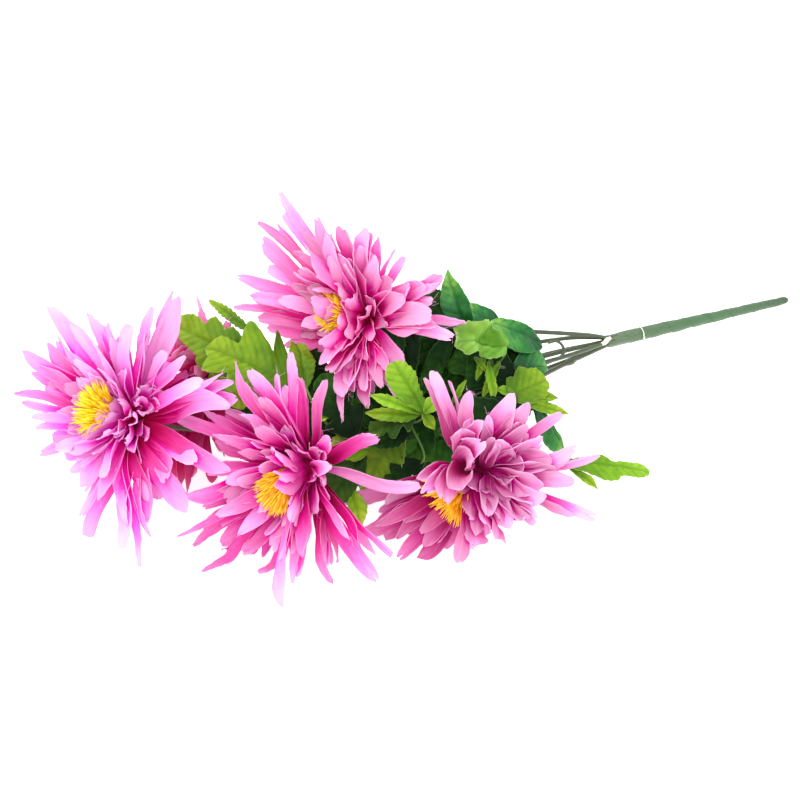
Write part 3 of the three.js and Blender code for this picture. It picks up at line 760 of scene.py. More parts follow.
            (150, 462, 68, 12), (187, 494, 84, 10), (200, 456, 56, 12), (196, 376, 36, 9),
            (178, 489, 78, 15), (205, 470, 63, 13), (192, 478, 68, 13), (165, 458, 62, 12),
            (222, 455, 52, 11), (236, 440, 46, 11), (152, 470, 71, 12), (173, 440, 51, 12),
            (200, 440, 46, 12), (216, 480, 68, 11), (150, 440, -59, 10),
        ],
        "dyes": {
            "along": ((182, 0, 90), (210, 8, 116), (226, 58, 148), (240, 118, 186), (253, 214, 242)),
            "edge": (246, 190, 222),
        },
    },
}
calyxGap = 0.4 * mm  # between the calyx's rim and the first star


def headFrame(name):
    calyx = pointsOf(f"{name}_calyx")
    foot = middleOf(calyx)
    axis = (middleOf(pointsOf(f"{name}_stamens")) - foot).normalized()
    reach = max((spot - foot).dot(axis) for spot in calyx)
    side = upward.cross(axis).normalized()
    return {"hub": foot + axis * (reach + calyxGap), "axis": axis, "side": side, "rise": axis.cross(side)}


# A direction in a head's own terms: turn round its axis, tilt away from it.
def headWay(head, turn, tilt):
    out = circling(head["side"], head["rise"], math.radians(turn))
    return out * math.sin(math.radians(tilt)) + head["axis"] * math.cos(math.radians(tilt))


# Small faults of hand work, as ranges or as choices, so that no two petals come out alike.
faults = {
    "sway": (-12, 12), "hook": (0, 0, 0, 30, -40, -70), "roll": (-16, 16), "twist": (-34, 34),
    "cup": (0.3, 0.5, 0.8, 1.1), "crease": (0.1, 1.7), "ripple": (0.3, 1.7), "fray": (0.3, 2.2),
    "slant": (-1.0, 1.0), "notch": (0, 0, 0, 0.06, 0.1), "split": (-0.5, 0.5), "tip": (1.2, 1.7, 2.3, 3.0),
    "blunt": (0.4, 0.55, 0.75), "taper": (0.55, 0.66, 0.76, 0.84), "bend": 0.03,
}


def handMade(chance, head, **petal):
    petal["sway"] = chance.uniform(*faults["sway"])
    petal["hook"] = chance.choice(faults["hook"]) * chance.random()
    petal["roll"] = chance.uniform(*faults["roll"])
    petal["twist"] = chance.uniform(*faults["twist"])
    petal["cup"] = chance.choice(faults["cup"])
    petal["crease"] = chance.uniform(*faults["crease"])
    petal["ripple"] = chance.uniform(*faults["ripple"])
    petal["ruffle"] = chance.random() * head["ruffle"]
    petal["phase"] = chance.uniform(0, 6)
    petal["fray"] = chance.uniform(*faults["fray"]) * head["fray"]
    petal["tears"] = [chance.random() for _ in range(petalCut["columns"] + 1)]
    petal["slant"] = chance.uniform(*faults["slant"])
    petal["notch"] = chance.choice(faults["notch"]) * chance.random()
    petal["split"] = chance.uniform(*faults["split"])
    petal["tip"] = chance.choice(faults["tip"]) * head["broad"]
    petal["blunt"] = chance.choice(faults["blunt"])
    petal["taper"] = chance.choice(faults["taper"])
    petal["tone"] = chance.random()
    petal["start"] = 0.0
    petal["dyeEnd"] = 1.0
    petal["bends"] = [chance.uniform(-1, 1) * faults["bend"] for _ in range(2)]
    return petal


# Painted shade: the deep dye runs farther out on the side of a head that lies in shade. Each petal's start
# also varies at random.
dyeAndShade = {"from": -0.3, "to": 0.8, "vary": 0.14, "fade": 0.4}


def dyeStart(chance, head, way):
    x, y = head["deepSide"]
    side = way.dot(view["right"]) * x - way.dot(view["up"]) * y
    share = smooth((side - dyeAndShade["from"]) / (dyeAndShade["to"] - dyeAndShade["from"]))
    return mix(*head["dyed"], share) + chance.uniform(-1, 1) * dyeAndShade["vary"]


# Petals of the ranks give way to placed ones, by degrees round them, and stay shorter than them. Where the
# camera looks straight down them, in the parting, they are short and curled. One that would keep less than
# the least share of its length is left out.
giveWay = {"placed": 11, "near": 8, "limit": 0.84, "least": 0.6, "parting": 36,
           "short": (18, 27), "wide": 9, "hook": (-60, 60), "cup": (0.6, 1.5), "dyeStart": -0.05}


def isFree(head, way):
    return all(way.angle(other) > math.radians(giveWay["placed"]) for other in head["taken"])


def inPicture(head, spot):
    gap = pixelOf(spot) - pixelOf(head["hub"])
    return math.degrees(math.atan2(gap.y, gap.x)), gap.length


# The share of its length that a petal may keep.
def shareKept(head, spot):
    turn, reach = inPicture(head, spot)
    near = [far for other, far in head["tips"] if abs((turn - other + 180) % 360 - 180) < giveWay["near"]]
    return (max(near) * giveWay["limit"] if near else head["bare"]) / max(reach, 1)


def rankPetals(head, chance, layer):
    step = 360 / layer["petals"]
    start = chance.uniform(0, step)
    pressed = Vector(head["pressed"])
    flat = squareTo(head["axis"], pressed).normalized()
    found = []
    for rank in (0, 1):
        for i in range(layer["petals"]):
            turn = start + (i + rank / 2) * step + chance.uniform(-ranks["turns"], ranks["turns"]) * step
            out = headWay(head, turn, 90)
            size = head["scale"] * mix(1, ranks["length"], rank)
            tilt = layer["tilt"] + layer["lean"] * head["lean"] * out.dot(flat) + ranks["tilt"] * (rank - 0.5)
            petal = handMade(
                chance, head, turn=turn,
                tilt=tilt + chance.uniform(-ranks["tilts"], ranks["tilts"]),
                curl=layer["curl"] + chance.uniform(-ranks["curls"], ranks["curls"]),
                length=layer["length"] * size * chance.uniform(*ranks["lengths"]),
                width=layer["width"] * head["scale"] * head["broad"] * chance.uniform(*ranks["widths"]),
                radius=layer["radius"] * head["scale"],
                height=layer["height"] * head["scale"] - ranks["height"] * rank + ranks["stagger"] * (i % 2),
            )
            if chance.random() < head["thin"]:
                continue
            way = headWay(head, turn, petal["tilt"])
            petal["dyeStart"] = dyeStart(chance, head, way)
            if way.angle(view["back"]) < math.radians(giveWay["parting"]):
                if chance.random() > head["curls"]:
                    continue
                petal["dyeStart"] = giveWay["dyeStart"]
                petal["length"] = min(petal["length"], chance.uniform(*giveWay["short"]))
                petal["width"] = max(petal["width"], giveWay["wide"])
                petal["hook"] = chance.uniform(*giveWay["hook"])
                petal["cup"] = chance.uniform(*giveWay["cup"])
            elif not isFree(head, way):
                continue
            kept = shareKept(head, petalLine(head, petal)[-1][0])
            if kept > giveWay["least"]:
                petal["length"] *= min(1, kept)
                found.append((petal, petalLine(head, petal)))
    return found


# Placed petals leave the hub, arch a little and end where they show. They are turned part of the way
# to show their width. Their roots stand on the hub, high and close to the axis for a steep petal, low and
# far out for a flat one. Each rides in the layer between whose tilts it lies.
placing = {"bow": (-0.02, 0.14), "sway": 0.06, "width": 1.02, "twist": 0.5, "tilts": (33, 50, 64, 78),
           "flat": 85, "roots": (3, 5.2), "heights": (5.6, 0), "gap": 60,
           "short": 30, "shortDyes": (-0.12, 0.95)}


def placePetals(head, chance):
    head["taken"], head["tips"] = [], []
    layers = [[] for _ in petalLayers]
    for x, y in head.get("gaps", ()):
        head["taken"].append((reachTo(head["hub"], x, y, placing["gap"]) - head["hub"]).normalized())
    for x, y, length, width, *own in head["placed"]:
        tip = reachTo(head["hub"], x, y, length)
        ahead = (tip - head["hub"]).normalized()
        head["taken"].append(ahead)
        head["tips"].append(inPicture(head, tip))
        out = squareTo(head["axis"], ahead).normalized()
        tilt = math.degrees(ahead.angle(head["axis"]))
        outermost = min(1.0, tilt / placing["flat"])
        root = out * mix(*placing["roots"], outermost) + head["axis"] * mix(*placing["heights"], outermost)
        root = head["hub"] + root * mm
        petal = handMade(chance, head, length=(tip - root).length / mm, width=width * placing["width"])
        petal["twist"] *= placing["twist"]
        petal["dyeStart"] = dyeStart(chance, head, ahead)
        if length < placing["short"]:
            petal["dyeStart"], petal["dyeEnd"] = placing["shortDyes"]
        bow = chance.uniform(*placing["bow"])
        # A petal's own dye: deeper for a petal in shade (painted shade), paler for one that shows lit
        # (painted highlight).
        if own:
            petal["dyeStart"], bow = own
        # A petal that starts deep, painted shade included, also ends less pale.
        petal["dyeEnd"] += dyeAndShade["fade"] * min(0.0, petal["dyeStart"])
        face = (head["axis"] * ahead.dot(out) - out * ahead.dot(head["axis"])).normalized()
        wide = ahead.cross(face)
        knee = root.lerp(tip, 0.5) + face * bow * petal["length"] * mm
        knee += wide * chance.uniform(-1, 1) * placing["sway"] * petal["length"] * mm
        facing = face.dot(view["back"])
        face = face + view["back"] * math.copysign(chance.uniform(*head["show"]), facing)
        index = sum(tilt > limit for limit in placing["tilts"])
        layers[index].append((petal, bentLine(root, knee, tip, face, petal)))
    return layers


# A star whose petals all run one way, through one throat, and then open again. Its centre is a pixel and
# a distance from the hub.
throatCut = {"start": 0.35, "dyeStart": -0.5, "ripple": 2.0, "ruffle": 0.9, "crease": 1.2, "roll": 2.2,
             "twist": 0.4, "spread": 2.5, "sink": 4}


def throatPetals(head, throat, chance):
    centre = reachTo(head["hub"], *throat["centre"])
    found = []
    for x, y, reach, width in throat["tips"]:
        tip = reachTo(head["hub"], x, y, reach)
        ray = (tip - centre).normalized()
        knee = centre + (ray * throatCut["spread"] - view["back"] * throatCut["sink"]) * mm
        length = (knee - head["hub"]).length / mm + (tip - knee).length / mm
        petal = handMade(chance, head, length=length, width=width)
        for key in ("start", "dyeStart", "ripple", "ruffle", "crease"):
            petal[key] = throat.get(key, throatCut[key])
        petal["roll"] *= throatCut["roll"]
        petal["twist"] *= throatCut["twist"]
        found.append((petal, bentLine(head["hub"], knee, tip, view["back"], petal)))
    return found


# The stump that the stars are threaded on shows between their roots.
core = {"radii": (5.4, 6.2, 6.4, 6.0, 4.8, 3.6), "height": 9, "sides": 20, "span": (0.0, 0.05)}


def addCore(pile, head):
    steps = len(core["radii"]) - 1
    size = head["scale"]
    path = [head["hub"] + head["axis"] * core["height"] * size * k / steps * mm for k in range(steps + 1)]
    addTube(pile, path, [r * size * mm for r in core["radii"]], core["sides"], 0.2, span=core["span"])


def buildPetals(name, head):
    chance = random.Random(head["seed"])
    dyes = {
        "along": [colour(*shade) for shade in head["dyes"]["along"]],
        "edge": colour(*head["dyes"]["edge"]),
    }
    material = petalMaterial(f"{name}PetalCloth", dyes)
    placed = placePetals(head, chance)
    for order, index in enumerate(head["layers"]):
        pile = newPile()
        found = rankPetals(head, chance, petalLayers[index])
        upTo = head["layers"][order + 1] if order + 1 < len(head["layers"]) else len(petalLayers)
        for layer in placed[index:upTo]:
            found += layer
        if order == 0:
            addCore(pile, head)
            for throat in head.get("throats", ()):
                found += throatPetals(head, throat, chance)
        for petal, line in found:
            addPetal(pile, line, petal)
            if index > 1 and chance.random() < fibres["share"]:
                addFibres(pile, line, petal, chance)
        makePiece(f"{name}Petals{order + 1}", pile, material, [f"{name}_petals_{order + 1}"])


# Stamens: a flared brush of stiff threads, each with a small bead at its tip.
tuft = {"threads": 330, "root": 3.4, "start": 6, "length": 24, "dome": 4, "thick": 0.22, "bead": 0.58,
        "steps": 7, "sides": 5, "lean": 3, "curl": 1.7, "lengths": (0.75, 1.06), "flares": (0.85, 1.15)}
# Each tuft runs from a darker orange at the root to yellow at the bead: partly the threads' own colour and
# partly painted shade deep in the tuft.
tuftDyes = {
    "yellow": ((226, 120, 4), (246, 160, 6), (255, 200, 14), (255, 226, 40)),
    "orange": ((196, 84, 2), (236, 124, 2), (250, 158, 6), (255, 204, 30)),
}


def buildStamens(name, head, materials):
    chance = random.Random(head["seed"] + 100)
    pile = newPile()
    size = head["scale"]
    for i in range(tuft["threads"]):
        share = math.sqrt((i + 0.5) / tuft["threads"])
        turn = i * math.pi * (3 - math.sqrt(5)) + chance.uniform(-0.3, 0.3)
        out = circling(head["side"], head["rise"], turn)
        lean = out.cross(head["axis"]) * chance.uniform(-tuft["lean"], tuft["lean"])
        reach = (tuft["length"] + tuft["dome"] * (1 - share * share)) * chance.uniform(*tuft["lengths"])
        flare = head["flare"] * share * chance.uniform(*tuft["flares"])
        curl = chance.uniform(-tuft["curl"], tuft["curl"])
        path, radii = [], []
        for k in range(tuft["steps"] + 1):
            t = k / tuft["steps"]
            radius = mix(tuft["root"] * share, flare, t ** 1.6)
            swing = lean * t * t + out * curl * math.sin(4 * t)
            spot = head["axis"] * (tuft["start"] + reach * t) + out * radius + swing
            spot = head["hub"] + spot * size * mm
            spot.z -= head["droop"] * t * t * mm
            path.append(onTable(spot))
            radii.append((tuft["bead"] if k == tuft["steps"] - 1 else tuft["thick"]) * size * mm)
        radii[-1] *= 0.6
        addTube(pile, path, radii, tuft["sides"], chance.random())
    makePiece(f"{name}Stamens", pile, materials[head["tuft"]], [f"{name}_stamens"])


# Calyx: a green cup with pointed sepals laid over its outside.
sepal = {"count": 8, "rows": 8, "columns": 4, "length": 9.2, "width": 5.5, "thick": 0.4 * mm,
         "swell": 0.7, "over": 0.8, "off": 0.4, "hang": 0.3, "round": 0.5, "vein": 0.2}
calyxCup = {"rim": 6.0, "neck": 1.9, "depth": 9, "swell": 0.8, "rings": 9, "sides": 24}


def buildCalyx(name, head, material):
    pile = newPile()
    path, radii = [], []
    for k in range(calyxCup["rings"]):
        t = k / (calyxCup["rings"] - 1)
        path.append(head["hub"] - head["axis"] * (calyxGap + calyxCup["depth"] * (1 - t) * mm))
        swell = math.sin(t * math.pi / 2) ** calyxCup["swell"]
        radii.append(mix(calyxCup["neck"], calyxCup["rim"], swell) * mm)
    addTube(pile, path, radii, calyxCup["sides"], 0.3)
    for i in range(sepal["count"]):
        turn = 2 * math.pi * i / sepal["count"]
        out = circling(head["side"], head["rise"], turn)
        wide = head["axis"].cross(out)
        cells = []
        for k in range(sepal["rows"] + 1):
            t = k / sepal["rows"]
            swell = math.sin(t * math.pi / 2) ** sepal["swell"]
            radius = mix(calyxCup["neck"], calyxCup["rim"] + sepal["over"], swell) + sepal["off"]
            level = -calyxCup["depth"] + sepal["length"] * t
            half = sepal["width"] / 2 * math.sin(math.pi * (0.12 + 0.86 * t)) ** 0.8
            row = []
            for j in range(sepal["columns"] + 1):
                s = 2 * j / sepal["columns"] - 1
                dip = sepal["round"] * s * s * half / 2
                vein = 1 - bell(s, sepal["vein"])
                spot = head["axis"] * (level - sepal["hang"] * abs(s)) + out * (radius - dip)
                spot = head["hub"] - head["axis"] * calyxGap + (spot + wide * half * s) * mm
                row.append((spot, (t, s, vein, s * half * mm, t * sepal["length"] * mm)))
            cells.append(row)
        addSheet(pile, cells, sepal["thick"], (i % 3) / 2)
    makePiece(f"{name}Calyx", pile, material, [f"{name}_calyx"])


# Leaves

# Teeth and side veins stand at an even pitch. The cloth puffs up between the veins, is folded along the
# middle, waves at its edges, droops at its tip and is crumpled a little all over.
leafCut = {"thick": 0.38 * mm, "columns": 16, "fillColumns": 10, "least": 0.3,
           "pitch": 3.6, "rowsPerTooth": 4, "fullTooth": 3, "sweepBack": 0.3,
           "veins": 4.8, "slant": 0.85, "rib": 0.8, "ribSunk": 0.6, "puff": 0.8, "fullPuff": 5,
           "fold": (0.04, 0.3), "flatten": 0.03, "droop": (0.0, 0.05),
           "wave": (0.3, 1.0), "waves": 9, "waveHeight": 0.14, "crumple": 1.3, "crumples": 0.16}

# Blades, each in its node's own plane: where its foot and tip are (along, across), how far its lobes
# sweep forward, and its half width at shares of its length, left and right, all in millimetres. raise lifts
# a blade off the leaf's plane. A turned blade has its dyes the other way round.
blades = {
    "leaf_lime_left": [{
        "foot": (-4, 10), "tip": (48, 0), "sweep": 0.6, "dye": "lime", "tooth": 0.9,
        "left": ((0, 6), (0.1, 13), (0.25, 16), (0.45, 15), (0.55, 10), (0.7, 8), (0.9, 4), (1, 1)),
        "right": ((0, 4), (0.15, 9), (0.3, 14), (0.4, 11), (0.52, 15), (0.63, 8.5), (0.75, 11), (0.85, 9),
                  (1, 3)),
    }],
    "leaf_lime_lobed": [{
        "foot": (24, 19), "tip": (52, -23), "sweep": 0.8, "dye": "lime", "tooth": 0.7,
        "left": ((0, 8), (0.1, 18), (0.22, 12), (0.36, 22), (0.56, 12), (0.74, 19), (0.88, 6), (1, 0)),
        "right": ((0, 14), (0.05, 30), (0.22, 11), (0.43, 24), (0.62, 8), (0.8, 8), (1, 0)),
    }],
    "leaf_narrow_back": [{
        "foot": (2, 12), "tip": (37, 0), "sweep": 0.5, "dye": "lime", "tooth": 1.0,
        "left": ((0, 1), (0.1, 4), (0.44, 4.6), (0.77, 3), (1, 0)),
        "right": ((0, 1), (0.15, 3), (0.43, 3.6), (0.77, 2.4), (1, 0)),
    }],
    "leaf_small_round": [{
        "foot": (39, 3), "tip": (0, -15), "sweep": 0.5, "dye": "lime", "tooth": 1.0,
        "left": ((0, 1), (0.12, 5), (0.45, 8), (0.8, 6), (1, 1)),
        "right": ((0, 1), (0.15, 5), (0.45, 7.5), (0.78, 6), (1, 1)),
    }],
    "leaf_behind_front": [{
        "foot": (2, 0), "tip": (54, -7), "sweep": 0.6, "dye": "lime", "tooth": 1.1,
        "left": ((0, 1), (0.2, 8), (0.4, 5), (0.57, 10), (0.72, 5), (0.86, 7), (1, 1)),
        "right": ((0, 1), (0.13, 6), (0.4, 8), (0.6, 5), (0.79, 6), (1, 1)),
    }],
    "leaf_bright_middle": [
        {
            "foot": (13, 12), "tip": (36, -11), "sweep": 0.5, "dye": "bright", "tooth": 1.1,
            "left": ((0, 1), (0.2, 6.5), (0.46, 10.5), (0.72, 10.5), (0.92, 6), (1, 2)),
            "right": ((0, 1), (0.15, 4), (0.38, 5), (0.61, 7), (0.8, 6), (1, 1)),
        }, {
            "foot": (14, 12), "tip": (44, 9), "sweep": 0.4, "dye": "bright", "tooth": 0.7, "raise": -1.2,
            "left": ((0, 1), (0.31, 3), (0.7, 4), (1, 0)),
            "right": ((0, 1), (0.29, 3.4), (0.69, 3.4), (1, 0)),
        }, {
            "foot": (14, 12), "tip": (8, 2), "sweep": 0.4, "dye": "bright", "tooth": 0.0, "raise": 0.8,
            "left": ((0, 1), (0.4, 5), (1, 0)), "right": ((0, 1), (0.4, 4), (1, 0)),
        }, {
            "foot": (15, 13), "tip": (44, 19), "sweep": 0.4, "dye": "lime", "tooth": 0.8, "raise": -2.5,
            "left": ((0, 1), (0.27, 5), (0.68, 4.6), (1, 0)),
            "right": ((0, 1), (0.29, 4), (0.7, 3.4), (1, 0)),
        }, {
            "foot": (14, 12), "tip": (5, 19), "sweep": 0.3, "dye": "lime", "tooth": 0.0, "raise": -0.6,
            "left": ((0, 1), (0.4, 3.6), (1, 0)), "right": ((0, 1), (0.4, 3.4), (1, 0)),
        },
    ],
    "leaf_narrow_middle": [{
        "foot": (6, -4), "tip": (44, -1), "sweep": 0.4, "dye": "bright", "tooth": 1.0,
        "left": ((0, 1), (0.33, 3.2), (0.76, 3.2), (1, 0)),
        "right": ((0, 1), (0.26, 3.4), (0.69, 3.4), (1, 0)),
    }],
    "leaf_low_front": [
        {
            "foot": (18, -10), "tip": (57, -12), "sweep": 0.5, "dye": "olive", "tooth": 1.0,
            "left": ((0, 1), (0.29, 8.5), (0.7, 9), (1, 1)),
            "right": ((0, 1), (0.3, 10.5), (0.65, 11), (1, 1)),
        }, {
            "foot": (41, -5), "tip": (56, 11), "sweep": 0.4, "dye": "lime", "tooth": 0.8, "raise": -1,
            "left": ((0, 1), (0.45, 6.5), (1, 0)), "right": ((0, 1), (0.48, 6), (1, 0)),
        }, {
            "foot": (16, -8), "tip": (25, -29), "sweep": 0.5, "dye": "lime", "tooth": 1.0, "raise": 1,
            "left": ((0, 2), (0.2, 10), (0.67, 10), (1, 1)), "right": ((0, 1), (0.27, 7), (0.67, 6), (1, 1)),
        },
    ],
    "leaf_dark_inner": [{
        "foot": (22, 10), "tip": (66, 23), "sweep": 0.6, "dye": "deep", "tooth": 1.3,
        "left": ((0, 2), (0.16, 11), (0.3, 10), (0.5, 16), (0.7, 9), (0.88, 9), (1, 1)),
        "right": ((0, 2), (0.3, 9), (0.5, 6), (0.68, 8), (1, 1)),
    }],
    "leaf_dark_low": [{
        "foot": (4, 0), "tip": (62, 0), "sweep": 0.6, "dye": "deep", "tooth": 1.2,
        "left": ((0, 2), (0.2, 14), (0.35, 10), (0.55, 18), (0.72, 9), (0.86, 9), (1, 1)),
        "right": ((0, 2), (0.2, 16), (0.38, 10), (0.55, 17), (0.7, 8), (0.86, 8), (1, 1)),
    }],
    "leaf_satin_tall": [{
        "foot": (37, -3), "tip": (2, 4), "sweep": 0.3, "dye": "satin", "tooth": 0.0,
        "left": ((0, 3), (0.2, 7), (0.45, 8.4), (0.7, 6), (0.88, 2.6), (1, 0)),
        "right": ((0, 4), (0.2, 7.6), (0.45, 8), (0.7, 5.6), (0.88, 2.4), (1, 0)),
    }],
    "leaf_pale_crumpled": [{
        "foot": (6, 1), "tip": (40, -2), "sweep": 0.4, "dye": "pale", "tooth": 1.3, "crumple": 12,
        "left": ((0, 3), (0.12, 8), (0.27, 9.5), (0.45, 5.5), (0.68, 10), (0.88, 6), (1, 1)),
        "right": ((0, 3), (0.11, 8), (0.27, 12.5), (0.46, 9.5), (0.63, 11), (0.9, 7), (1, 1)),
    }],
    "leaf_satin_broad": [
        {
            "foot": (8, 2), "tip": (43, -7), "sweep": 0.3, "dye": "satin", "tooth": 0.0, "turned": True,
            "left": ((0, 2), (0.15, 5), (0.5, 6), (0.8, 4), (1, 0)),
            "right": ((0, 5), (0.25, 14), (0.55, 13), (0.84, 7), (1, 1)),
        }, {
            "foot": (14, 2), "tip": (-8, 15), "sweep": 0.3, "dye": "satin", "tooth": 0.0, "raise": -2,
            "left": ((0, 2), (0.3, 6), (0.6, 6), (0.85, 3), (1, 0)),
            "right": ((0, 2), (0.3, 6), (0.6, 5.6), (0.85, 3), (1, 0)),
        }, {
            "foot": (20, -25), "tip": (47, -19), "sweep": 0.3, "dye": "satin", "tooth": 0.0, "raise": -3,
            "left": ((0, 3), (0.3, 10), (0.6, 11), (0.85, 5), (1, 0)),
            "right": ((0, 3), (0.3, 8), (0.6, 6), (0.85, 3), (1, 0)),
        },
    ],
    "leaf_toothed_right": [
        {
            "foot": (24, -22), "tip": (25, 5), "sweep": 0.5, "dye": "lime", "tooth": 1.3,
            "left": ((0, 3), (0.12, 12), (0.28, 11), (0.44, 15.5), (0.6, 11), (0.78, 10), (1, 1)),
            "right": ((0, 3), (0.25, 11), (0.45, 9), (0.59, 11), (0.8, 7), (1, 1)),
        }, {
            "foot": (27, -12), "tip": (37, 5), "sweep": 0.3, "dye": "lime", "tooth": 0.0, "raise": -0.8,
            "left": ((0, 1), (0.5, 3), (1, 0)), "right": ((0, 1), (0.5, 4.4), (1, 0)),
        }, {
            "foot": (28, -16), "tip": (48, 5), "sweep": 0.3, "dye": "lime", "tooth": 0.5, "raise": -1.6,
            "left": ((0, 1), (0.3, 4), (0.65, 3.4), (1, 0)), "right": ((0, 1), (0.27, 4), (0.6, 4.4), (1, 0)),
        }, {
            "foot": (25, -17), "tip": (16, -24), "sweep": 0.3, "dye": "bright", "tooth": 0.0, "raise": 0.8,
            "left": ((0, 1), (0.5, 2.6), (1, 0)), "right": ((0, 1), (0.6, 3.6), (1, 0)),
        },
    ],
    "leaf_round_right": [{
        "foot": (34, -6), "tip": (4, 7), "sweep": 0.3, "dye": "satin", "tooth": 0.0,
        "left": ((0, 1), (0.3, 2), (0.7, 2), (1, 0)),
        "right": ((0, 1), (0.3, 9), (0.65, 11), (0.88, 8), (1, 1)),
    }],
    "leaf_long_right": [
        {
            "foot": (3, 3), "tip": (59, 6), "sweep": 0.3, "dye": "bright", "tooth": 0.5,
            "left": ((0, 1), (0.15, 3), (0.34, 4), (0.45, 6), (0.6, 2.8), (0.88, 4), (1, 1.5)),
            "right": ((0, 1), (0.14, 4), (0.33, 7), (0.48, 11), (0.6, 11.4), (0.66, 7.5), (0.85, 6.5),
                      (1, 1)),
        }, {
            "foot": (12, 1), "tip": (29, -11), "sweep": 0.2, "dye": "lime", "tooth": 0.0, "raise": -0.8,
            "left": ((0, 1), (0.58, 2.8), (1, 0)), "right": ((0, 1), (0.59, 3), (1, 0)),
        },
    ],
}
# Each dye's vein colour is the painted shade in the pressed veins.
leafDyes = {
    "lime": {
        "along": ((86, 136, 6), (126, 172, 14), (158, 196, 32), (186, 216, 60)),
        "vein": (74, 122, 4), "edge": (196, 222, 110), "shine": 0.3,
    },
    "bright": {
        "along": ((96, 152, 14), (138, 194, 26), (160, 212, 46), (180, 222, 72)),
        "vein": (84, 142, 10), "edge": (208, 232, 124), "shine": 0.3,
    },
    "pale": {
        "along": ((126, 194, 62), (158, 218, 84), (186, 234, 114), (210, 246, 148)),
        "vein": (58, 128, 22), "edge": (214, 238, 160), "shine": 0.35,
    },
    "olive": {
        "along": ((30, 66, 12), (48, 88, 18), (68, 108, 26), (104, 146, 44)),
        "vein": (26, 58, 10), "edge": (120, 164, 62), "shine": 0.15,
    },
    # Dark green for leaves deep in the bunch: partly their own colour and partly painted shade where the
    # bunch lies in shadow.
    "deep": {
        "along": ((6, 30, 8), (16, 54, 12), (36, 88, 20), (72, 128, 32)),
        "vein": (12, 50, 10), "edge": (92, 146, 54), "shine": 0.12,
    },
    "satin": {
        "along": ((0, 84, 34), (4, 114, 46), (70, 170, 66), (172, 224, 104)),
        "vein": (0, 96, 38), "edge": (120, 186, 100), "shine": 0.45, "rough": (0.28, 0.42),
    },
}

# Small leaves that fill the bunch between the large ones: how many grow on each stem, and between
# which distances from the fork. Their tips stay within the bunch's outline, a ring of pixels, clear of the
# heads, and turned to the eye no more than toEye says, left and right of a line of pixels.
# Placed ones go from a share of a stem's length to a pixel, raised ones from pixel to pixel at a height
# over the stems, some at one of their own. A number names the shape.
fillLeaves = {
    "seed": 4, "tries": 24, "clear": 44, "toEye": (0.25, -0.05), "rightOf": 490,
    "length": (34, 54), "lean": 42, "leans": (-20, 40), "arch": (1, 5), "faceUp": (-0.3, -0.5, 0.8),
    "stems": {
        "stem_centre": (11, 66, 190), "stem_top": (10, 62, 150), "stem_back": (11, 62, 230),
        "stem_front": (12, 66, 210), "stem_right": (9, 62, 135), "stem_leaf_high": (6, 60, 110),
        "stem_leaf_low": (6, 60, 110),
    },
    "outline": ((322, 322), (400, 336), (440, 314), (500, 336), (540, 366), (550, 398), (556, 436),
                (530, 470), (430, 474), (332, 500), (318, 420)),
    "placed": (
        ("stem_front", 0.9, 321, 374, "deep", 0), ("stem_back", 0.78, 311, 342, "deep", 1),
        ("stem_back", 0.86, 206, 384, "lime", 0), ("stem_centre", 0.6, 338, 372, "deep", 1),
        ("stem_centre", 0.68, 228, 404, "deep", 0), ("stem_front", 0.82, 352, 400, "deep", 0),
        ("stem_top", 0.62, 412, 356, "deep", 0), ("stem_top", 0.5, 440, 352, "deep", 1),
        ("stem_front", 0.75, 362, 494, "lime", 1), ("stem_centre", 0.45, 398, 372, "deep", 0),
        ("stem_front", 0.62, 398, 436, "deep", 0), ("stem_front", 0.55, 412, 452, "deep", 1),
        ("stem_leaf_low", 0.8, 418, 412, "deep", 0), ("stem_front", 0.6, 424, 480, "deep", 0),
        ("stem_front", 0.66, 404, 478, "deep", 1),
    ),
    "raised": (
        ((486, 352), (476, 380), "bright", 2), ((488, 362), (494, 402), "bright", 2),
        ((452, 404), (466, 380), "bright", 2), ((500, 362), (482, 398), "lime", 2),
        ((474, 358), (488, 374), "lime", 2), ((418, 411), (369, 432), "olive", 0, 50),
        ((412, 430), (372, 446), "deep", 1, 42), ((334, 370), (300, 402), "deep", 0, 4),
        ((352, 404), (314, 426), "deep", 1, 12), ((424, 462), (384, 484), "deep", 0, 26),
        ((388, 398), (350, 411), "deep", 1, 12), ((404, 396), (430, 420), "deep", 1, 20),
        ((456, 334), (424, 286), "deep", 1, -6), ((462, 338), (438, 304), "deep", 0, -12),
        ((330, 456), (309, 402), "deep", 1, 14),
    ),
    "over": ("stem_leaf_high", 0.9), "raise": 17, "off": 1.5,
    "shapes": (
        {
            "sweep": 0.6, "tooth": 1.0,
            "left": ((0, 0.03), (0.1, 0.2), (0.2, 0.32), (0.32, 0.16), (0.5, 0.36), (0.64, 0.16), (0.8, 0.2),
                     (1, 0)),
            "right": ((0, 0.03), (0.12, 0.22), (0.25, 0.34), (0.38, 0.17), (0.55, 0.34), (0.7, 0.15),
                      (0.84, 0.17), (1, 0)),
        },
        {
            "sweep": 0.4, "tooth": 1.2,
            "left": ((0, 0.03), (0.15, 0.2), (0.4, 0.3), (0.7, 0.22), (1, 0)),
            "right": ((0, 0.03), (0.18, 0.22), (0.42, 0.32), (0.72, 0.2), (1, 0)),
        },
        {
            "sweep": 0.3, "tooth": 0.7,
            "left": ((0, 0.03), (0.3, 0.1), (0.6, 0.13), (1, 0)),
            "right": ((0, 0.03), (0.35, 0.16), (0.65, 0.12), (1, 0)),
        },
    ),
}


# The half width at a share of the length. Lobes come out rounded and the notches between them sharp.
def outlineAt(outline, u):
    for (a, low), (b, high) in zip(outline, outline[1:]):
        if u <= b:
            t = min(1.0, max(0.0, (u - a) / (b - a)))
            t = 1 - (1 - t) ** 1.5 if high > low else t ** 1.5
            return mix(low, high, t)
    return outline[-1][1]


